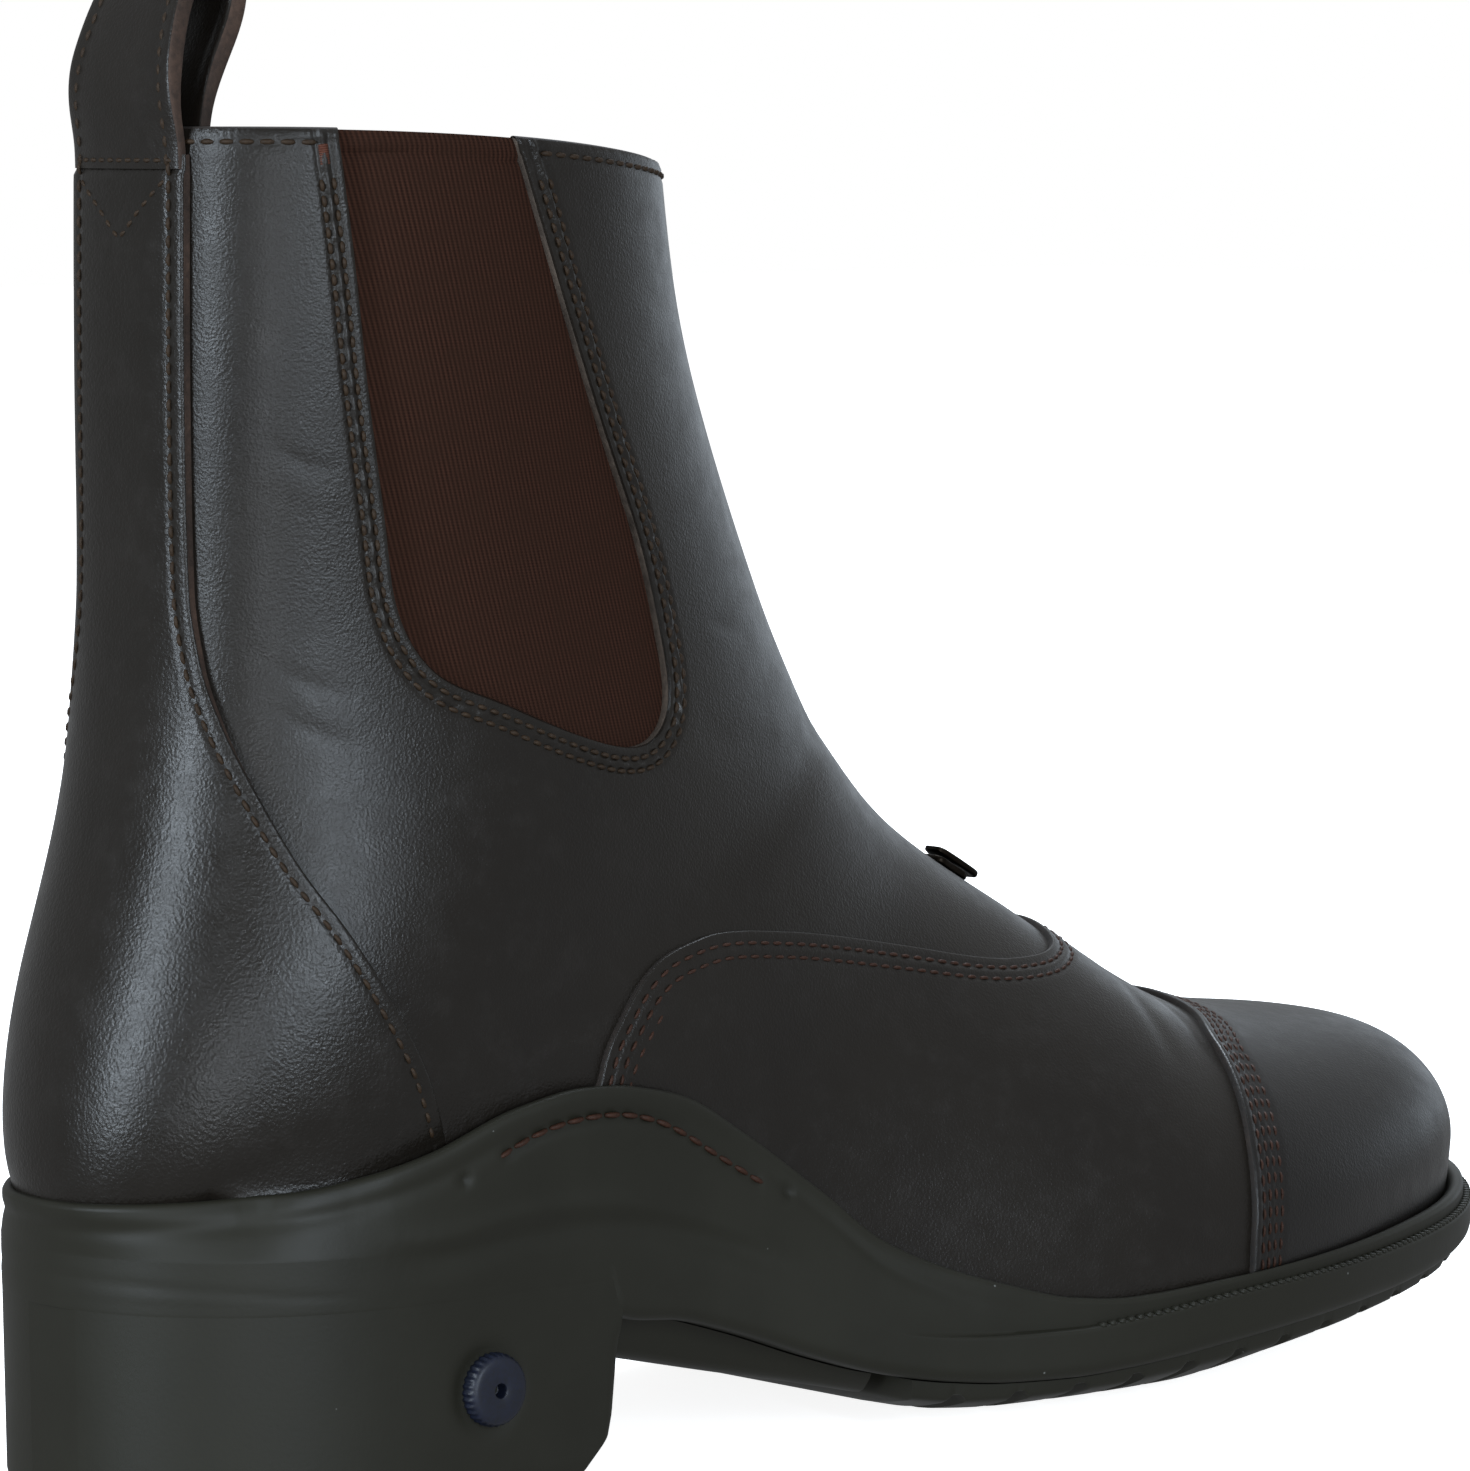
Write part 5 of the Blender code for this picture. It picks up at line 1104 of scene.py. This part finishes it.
def zip_slider(metal):
    """Slider as a flattened superellipsoid with a waist, and its tab as a ring section between outline and hole."""
    centre, up = skin(SLIDER_U, 0.0), normal(SLIDER_U, 0.0)
    up = unit(np.array([up[0], 0.0, up[2]]))
    down, across = np.array([up[2], 0.0, -up[0]]), np.array([0.0, 1.0, 0.0])
    power = lambda a, n: np.sign(a) * np.abs(a) ** n
    lat, turn = np.meshgrid(np.linspace(-np.pi / 2, np.pi / 2, 25), np.linspace(0, 2 * np.pi, 64, endpoint=False), indexing="ij")
    a = 3.8 * power(np.cos(lat), 0.35) * power(np.cos(turn), 0.55)
    b = 3.1 * power(np.cos(lat), 0.35) * power(np.sin(turn), 0.55) * (0.80 + 0.20 * np.abs(a / 3.8) ** 1.5)
    c = 0.70 + 0.70 * power(np.sin(lat), 0.45)
    points = centre + a[..., None] * down + b[..., None] * across + c[..., None] * up
    piece("zip_slider", points, quads(25, 64, True), [metal], "zip_metal", ["zip_slider"], sharp=50)
    turn = np.linspace(0, 2 * np.pi, 72, endpoint=False)
    outline = np.stack([1.2 + 5.0 * power(np.cos(turn), 0.42), 2.1 * power(np.sin(turn), 0.42)], 1)
    hole = np.stack([3.4 + 1.5 * power(np.cos(turn), 0.7), 0.95 * power(np.sin(turn), 0.7)], 1)
    section = [(0.0, 0.28), (0.0, 0.82), (0.09, 1.01), (0.28, 1.10), (0.75, 1.10), (0.94, 1.02), (1.0, 0.86), (1.0, 0.24), (0.94, 0.08),
               (0.75, 0.0), (0.28, 0.0), (0.09, 0.09)]
    plan = np.stack([outline + (hole - outline) * w for w, _ in section])
    height = 1.7 + np.array([t for _, t in section])
    points = centre + plan[..., :1] * down + plan[..., 1:] * across + height[:, None, None] * up
    points = np.concatenate([points, points[:1]])
    piece("zip_pull", points, quads(len(section) + 1, 72, True), [metal], "zip_metal", ["zip_pull"], body="zip_pull", sharp=50)


# ---- Finishes ----

def hue(code):
    """Linear colour of an sRGB hex value."""
    part = np.array([int(code[k:k + 2], 16) for k in (1, 3, 5)]) / 255
    return (*np.where(part <= 0.04045, part / 12.92, ((part + 0.055) / 1.055) ** 2.4), 1.0)


def per_mm(size):
    """Texture scale, in repeats to a metre, of a pattern of the given size in millimetres."""
    return 1 / (size * MM)


def add(tree, kind, inputs=None, **settings):
    """Adds one node: settings are its properties, inputs its values or the outputs linked to them."""
    made = tree.nodes.new(kind)
    for name, value in settings.items():
        setattr(made, name, value)
    for name, value in (inputs or {}).items():
        if isinstance(value, bpy.types.NodeSocket):
            tree.links.new(value, made.inputs[name])
        else:
            made.inputs[name].default_value = value
    return made


def new_finish(name):
    """Empty node tree of a new material and its shader."""
    made = bpy.data.materials.new(name)
    made.use_nodes = True
    return made, made.node_tree, made.node_tree.nodes["Principled BSDF"]


def grain_leather(name, dark, light, rough, pebble, depth, coat):
    """Smooth-grain cowhide, drum dyed and waxed: a fine pebble that breaks each highlight into glints."""
    made, tree, shader = new_finish(name)
    place = add(tree, "ShaderNodeTexCoord").outputs["Object"]
    mottle = add(tree, "ShaderNodeTexNoise", {"Vector": place, "Scale": per_mm(28), "Detail": 3.0, "Roughness": 0.6})
    scuff = add(tree, "ShaderNodeTexNoise", {"Vector": place, "Scale": per_mm(5), "Detail": 5.0, "Roughness": 0.7})
    cells = add(tree, "ShaderNodeTexVoronoi", {"Vector": place, "Scale": per_mm(pebble), "Smoothness": 0.6}, feature="SMOOTH_F1")
    fine = add(tree, "ShaderNodeTexNoise", {"Vector": place, "Scale": per_mm(pebble * 0.55), "Detail": 2.0})
    tone = add(tree, "ShaderNodeMix", {0: mottle.outputs["Fac"], 6: hue(dark), 7: hue(light)}, data_type="RGBA")
    worn = add(tree, "ShaderNodeMapRange", {"Value": scuff.outputs["Fac"], "From Min": 0.52, "From Max": 0.80, "To Max": 0.35})
    colour = add(tree, "ShaderNodeMix", {0: worn.outputs["Result"], 6: tone.outputs[2], 7: hue("#2c2825")}, data_type="RGBA")
    gloss = add(tree, "ShaderNodeMapRange", {"Value": scuff.outputs["Fac"], "From Min": 0.3, "From Max": 0.7,
                                             "To Min": rough - 0.05, "To Max": rough + 0.08})
    relief = add(tree, "ShaderNodeMath", {0: cells.outputs["Distance"], 1: fine.outputs["Fac"]}, operation="ADD")
    raised = add(tree, "ShaderNodeBump", {"Height": relief.outputs[0], "Strength": 0.55, "Distance": depth * MM})
    tree.links.new(colour.outputs[2], shader.inputs["Base Color"])
    tree.links.new(gloss.outputs["Result"], shader.inputs["Roughness"])
    tree.links.new(raised.outputs["Normal"], shader.inputs["Normal"])
    shader.inputs["Specular IOR Level"].default_value = 0.30
    shader.inputs["Coat Weight"].default_value = coat
    shader.inputs["Coat Roughness"].default_value = 0.32
    return made


def cut_leather(name, dark, light):
    """Cut cowhide edge, undyed fibre stained by wax: matt, streaked along the layers."""
    made, tree, shader = new_finish(name)
    place = add(tree, "ShaderNodeTexCoord").outputs["Object"]
    fibre = add(tree, "ShaderNodeTexNoise", {"Vector": place, "Scale": per_mm(1.1), "Detail": 5.0, "Roughness": 0.75})
    stain = add(tree, "ShaderNodeTexNoise", {"Vector": place, "Scale": per_mm(9), "Detail": 2.0})
    share = add(tree, "ShaderNodeMath", {0: fibre.outputs["Fac"], 1: stain.outputs["Fac"]}, operation="MULTIPLY")
    spread = add(tree, "ShaderNodeMapRange", {"Value": share.outputs[0], "From Min": 0.12, "From Max": 0.42})
    colour = add(tree, "ShaderNodeMix", {0: spread.outputs["Result"], 6: hue(dark), 7: hue(light)}, data_type="RGBA")
    raised = add(tree, "ShaderNodeBump", {"Height": fibre.outputs["Fac"], "Strength": 0.6, "Distance": 0.25 * MM})
    tree.links.new(colour.outputs[2], shader.inputs["Base Color"])
    tree.links.new(raised.outputs["Normal"], shader.inputs["Normal"])
    shader.inputs["Roughness"].default_value = 0.82
    return made


def ribbed_elastic():
    """Woven elastic webbing: covered rubber warps in 0.5 mm ribs, drawn coarser at 0.8 mm to be seen."""
    made, tree, shader = new_finish("woven_elastic_webbing")
    lay = add(tree, "ShaderNodeUVMap", uv_map="lay").outputs["UV"]
    parts = add(tree, "ShaderNodeSeparateXYZ", {"Vector": lay})
    wave = add(tree, "ShaderNodeMath", {0: parts.outputs["X"], 1: 2 * np.pi / 0.8}, operation="MULTIPLY")
    rib = add(tree, "ShaderNodeMath", {0: wave.outputs[0]}, operation="SINE")
    weft = add(tree, "ShaderNodeMath", {0: parts.outputs["Y"], 1: 2 * np.pi / 0.42}, operation="MULTIPLY")
    turn = add(tree, "ShaderNodeMath", {0: weft.outputs[0]}, operation="SINE")
    weave = add(tree, "ShaderNodeMath", {0: turn.outputs[0], 1: 0.35, 2: rib.outputs[0]}, operation="MULTIPLY_ADD")
    place = add(tree, "ShaderNodeTexCoord").outputs["Object"]
    lint = add(tree, "ShaderNodeTexNoise", {"Vector": place, "Scale": per_mm(3), "Detail": 5.0, "Roughness": 0.7})
    felt = add(tree, "ShaderNodeMapRange", {"Value": lint.outputs["Fac"], "From Min": 0.3, "From Max": 0.75, "To Max": 0.8})
    # Painted shade and highlight: the colour runs from dark in the troughs between the ribs to light on their crowns,
    # following the weave height that also drives the bump.
    level = add(tree, "ShaderNodeMapRange", {"Value": weave.outputs[0], "From Min": -1.3, "From Max": 1.3})
    tone = add(tree, "ShaderNodeMix", {0: level.outputs["Result"], 6: hue("#1a0d08"), 7: hue("#42291f")}, data_type="RGBA")
    colour = add(tree, "ShaderNodeMix", {0: felt.outputs["Result"], 6: tone.outputs[2], 7: hue("#2e1d15")}, data_type="RGBA")
    raised = add(tree, "ShaderNodeBump", {"Height": weave.outputs[0], "Strength": 0.3, "Distance": 0.10 * MM})
    tree.links.new(colour.outputs[2], shader.inputs["Base Color"])
    tree.links.new(raised.outputs["Normal"], shader.inputs["Normal"])
    shader.inputs["Roughness"].default_value = 0.9
    shader.inputs["Specular IOR Level"].default_value = 0.10
    return made


def moulded_rubber(name, dark, light, rough):
    """Moulded rubber: dull satin skin, faint flow mottle and stray pale dust on it."""
    made, tree, shader = new_finish(name)
    place = add(tree, "ShaderNodeTexCoord").outputs["Object"]
    flow = add(tree, "ShaderNodeTexNoise", {"Vector": place, "Scale": per_mm(22), "Detail": 4.0, "Roughness": 0.6})
    skin_grain = add(tree, "ShaderNodeTexNoise", {"Vector": place, "Scale": per_mm(0.7), "Detail": 3.0})
    dust = add(tree, "ShaderNodeTexVoronoi", {"Vector": place, "Scale": per_mm(7)}, feature="F1")
    speck = add(tree, "ShaderNodeMapRange", {"Value": dust.outputs["Distance"], "From Min": 0.030, "From Max": 0.018,
                                             "To Max": 0.5})
    tone = add(tree, "ShaderNodeMix", {0: flow.outputs["Fac"], 6: hue(dark), 7: hue(light)}, data_type="RGBA")
    colour = add(tree, "ShaderNodeMix", {0: speck.outputs["Result"], 6: tone.outputs[2], 7: hue("#8b8d8a")}, data_type="RGBA")
    gloss = add(tree, "ShaderNodeMapRange", {"Value": flow.outputs["Fac"], "From Min": 0.3, "From Max": 0.7,
                                             "To Min": rough - 0.06, "To Max": rough + 0.06})
    raised = add(tree, "ShaderNodeBump", {"Height": skin_grain.outputs["Fac"], "Strength": 0.25, "Distance": 0.08 * MM})
    tree.links.new(colour.outputs[2], shader.inputs["Base Color"])
    tree.links.new(gloss.outputs["Result"], shader.inputs["Roughness"])
    tree.links.new(raised.outputs["Normal"], shader.inputs["Normal"])
    shader.inputs["Specular IOR Level"].default_value = 0.30
    return made


def twisted_thread(name, dark, light):
    """Bonded polyester thread: plies catch the light at their crowns, painted as a highlight in the colour where the
    ply noise is high.
    """
    made, tree, shader = new_finish(name)
    place = add(tree, "ShaderNodeTexCoord").outputs["Object"]
    ply = add(tree, "ShaderNodeTexNoise", {"Vector": place, "Scale": per_mm(0.5), "Detail": 2.0})
    # Painted highlight: the ply noise that raises the crowns also lightens their colour.
    colour = add(tree, "ShaderNodeMix", {0: ply.outputs["Fac"], 6: hue(dark), 7: hue(light)}, data_type="RGBA")
    raised = add(tree, "ShaderNodeBump", {"Height": ply.outputs["Fac"], "Strength": 0.4, "Distance": 0.12 * MM})
    tree.links.new(colour.outputs[2], shader.inputs["Base Color"])
    tree.links.new(raised.outputs["Normal"], shader.inputs["Normal"])
    shader.inputs["Roughness"].default_value = 0.62
    shader.inputs["Specular IOR Level"].default_value = 0.25
    return made


def plain_grain(name, dark, light, rough, size, depth, metallic=0.0, sheen=0.0):
    """Fine even surface of one stuff: pigskin lining, plug plastic, tape or blackened brass, by grain size and depth."""
    made, tree, shader = new_finish(name)
    place = add(tree, "ShaderNodeTexCoord").outputs["Object"]
    grain = add(tree, "ShaderNodeTexNoise", {"Vector": place, "Scale": per_mm(size), "Detail": 4.0, "Roughness": 0.65})
    cloud = add(tree, "ShaderNodeTexNoise", {"Vector": place, "Scale": per_mm(size * 14), "Detail": 2.0})
    share = add(tree, "ShaderNodeMath", {0: grain.outputs["Fac"], 1: cloud.outputs["Fac"]}, operation="MULTIPLY")
    spread = add(tree, "ShaderNodeMapRange", {"Value": share.outputs[0], "From Min": 0.12, "From Max": 0.40})
    colour = add(tree, "ShaderNodeMix", {0: spread.outputs["Result"], 6: hue(dark), 7: hue(light)}, data_type="RGBA")
    gloss = add(tree, "ShaderNodeMapRange", {"Value": cloud.outputs["Fac"], "From Min": 0.3, "From Max": 0.7,
                                             "To Min": rough - 0.06, "To Max": rough + 0.06})
    raised = add(tree, "ShaderNodeBump", {"Height": grain.outputs["Fac"], "Strength": 0.4, "Distance": depth * MM})
    tree.links.new(colour.outputs[2], shader.inputs["Base Color"])
    tree.links.new(gloss.outputs["Result"], shader.inputs["Roughness"])
    tree.links.new(raised.outputs["Normal"], shader.inputs["Normal"])
    shader.inputs["Metallic"].default_value = metallic
    shader.inputs["Sheen Weight"].default_value = sheen
    return made


# ---- Boot ----

hide = grain_leather("waxed_grain_cowhide", "#171310", "#201c17", 0.33, 0.46, 0.085, 0.05)
counter_hide = grain_leather("waxed_grain_cowhide_counter", "#16130f", "#1f1b17", 0.30, 0.56, 0.10, 0.06)
cap_hide = grain_leather("waxed_grain_cowhide_toe", "#141210", "#1c1917", 0.36, 0.46, 0.07, 0.05)
raw_edge = cut_leather("cut_cowhide_edge", "#21160f", "#4a372c")
dark_edge = cut_leather("cut_cowhide_edge_inked", "#120e0b", "#2a2019")
window_edge = cut_leather("cut_cowhide_edge_natural", "#2a221b", "#5c5046")
elastic = ribbed_elastic()
rubber = moulded_rubber("moulded_natural_rubber", "#1b1a13", "#25241b", 0.52)
brown_thread = twisted_thread("bonded_polyester_thread_brown", "#160e08", "#403020")
russet_thread = twisted_thread("bonded_polyester_thread_russet", "#1e110b", "#46291b")
tack_thread = twisted_thread("bonded_polyester_thread_rust", "#331a10", "#64392a")
pigskin = plain_grain("vegetable_tanned_pigskin", "#2a1c13", "#4a3526", 0.72, 0.8, 0.10)
insole_hide = plain_grain("vegetable_tanned_insole_hide", "#4a3222", "#6f4f36", 0.70, 0.9, 0.10)
tape_cloth = plain_grain("woven_polyester_tape", "#0f0d0b", "#241f1b", 0.88, 0.45, 0.12, sheen=0.15)
brass = plain_grain("blackened_brass", "#14110e", "#2c2620", 0.42, 0.5, 0.02, metallic=1.0)
nylon = plain_grain("moulded_nylon_navy", "#050912", "#0b1226", 0.45, 0.6, 0.03)

quarter(LATERAL, "lateral", hide, dark_edge, window_edge)
quarter(MEDIAL, "medial", hide, dark_edge, window_edge)
for side, label in ((LATERAL, "lateral"), (MEDIAL, "medial")):
    collar_edge(side, label, dark_edge)
    gusset(side, label, elastic)
    zip_half(side, label, tape_cloth, brass)
lining(pigskin)
vamp(hide, dark_edge)
toe_cap(cap_hide, dark_edge)
counter(counter_hide, raw_edge)
pull_loop(hide, raw_edge)
sole_unit(rubber)
welt_notches(rubber)
heel(rubber)
tread(rubber)
waist_plate(rubber)
insole(insole_hide)
heel_plug(nylon)
zip_slider(brass)
threads("stitching_brown", "brown", brown_thread)
threads("stitching_russet", "russet", russet_thread)
threads("bar_tacks", "tack", tack_thread)

# ---- Studio ----

def studio_floor():
    """Pale floor: a plain square, its faint tone the only pattern."""
    side = 6.0
    mesh = bpy.data.meshes.new("studio_floor")
    low = -0.0002
    mesh.from_pydata([(-side, -side, low), (side, -side, low), (side, side, low), (-side, side, low)], [], [(0, 1, 2, 3)])
    made, tree, shader = new_finish("matt_white_paper")
    place = add(tree, "ShaderNodeTexCoord").outputs["Object"]
    tooth = add(tree, "ShaderNodeTexNoise", {"Vector": place, "Scale": per_mm(60), "Detail": 2.0})
    tone = add(tree, "ShaderNodeMix", {0: tooth.outputs["Fac"], 6: hue("#f6f6f6"), 7: hue("#fbfbfb")}, data_type="RGBA")
    tree.links.new(tone.outputs[2], shader.inputs["Base Color"])
    shader.inputs["Roughness"].default_value = 0.9
    shader.inputs["Emission Color"].default_value = (1.0, 1.0, 1.0, 1.0)
    shader.inputs["Emission Strength"].default_value = 0.88
    mesh.materials.append(made)
    floor = bpy.data.objects.new("studio_floor", mesh)
    bpy.context.scene.collection.objects.link(floor)
    floor.visible_glossy = floor.visible_diffuse = False      # its glow is for the eye only, not for the rubber


def softbox(name, place, target, size, power, tint):
    """Rectangular soft light at a place, turned to its target."""
    lamp = bpy.data.lights.new(name, "AREA")
    lamp.shape, lamp.size, lamp.size_y = "RECTANGLE", *size
    lamp.energy, lamp.color = power, tint
    made = bpy.data.objects.new(name, lamp)
    made.location = place
    made.rotation_euler = (Vector(target) - Vector(place)).to_track_quat("-Z", "Y").to_euler()
    made.visible_camera = False
    bpy.context.scene.collection.objects.link(made)


studio_floor()
scene = bpy.context.scene
scene.view_settings.view_transform = "Standard"
world = bpy.data.worlds.new("white_surround")
world.use_nodes = True
seen = add(world.node_tree, "ShaderNodeLightPath").outputs["Is Camera Ray"]
share = add(world.node_tree, "ShaderNodeMapRange", {"Value": seen, "To Min": 0.36, "To Max": 1.0})
cool = add(world.node_tree, "ShaderNodeMix", {0: seen, 6: (0.94, 0.97, 1.0, 1.0), 7: (1.0, 1.0, 1.0, 1.0)}, data_type="RGBA")
world.node_tree.links.new(cool.outputs[2], world.node_tree.nodes["Background"].inputs["Color"])
world.node_tree.links.new(share.outputs["Result"], world.node_tree.nodes["Background"].inputs["Strength"])
scene.world = world
softbox("left_box", (-1.90, -0.13, 0.55), (-0.10, 0, 0.1), (0.36, 1.1), 28, (0.78, 0.89, 1.0))
softbox("right_box", (-0.36, -1.86, 0.50), (-0.06, 0, 0.1), (0.36, 0.8), 17, (0.78, 0.89, 1.0))
softbox("low_box", (-1.20, -1.46, 0.07), (-0.10, 0, 0.14), (0.50, 0.14), 6, (0.84, 0.92, 1.0))
softbox("front_box", (1.80, 0.50, 0.26), (0.05, 0, 0.08), (1.5, 0.46), 1.8, (0.76, 0.88, 1.0))
softbox("top_box", (0.55, 0.5, 1.5), (0.08, 0, 0.05), (0.9, 0.9), 30, (0.82, 0.91, 1.0))

eye = bpy.data.cameras.new("camera")
eye.lens, eye.sensor_width, eye.sensor_fit = 179.68, 36.0, "HORIZONTAL"
camera = bpy.data.objects.new("camera", eye)
camera.location = (-0.75163, -0.82278, 0.1946)
camera.rotation_euler = Vector((0.6668, 0.7405, -0.0840)).to_track_quat("-Z", "Y").to_euler()
scene.collection.objects.link(camera)
scene.camera = camera

bpy.context.view_layer.update()
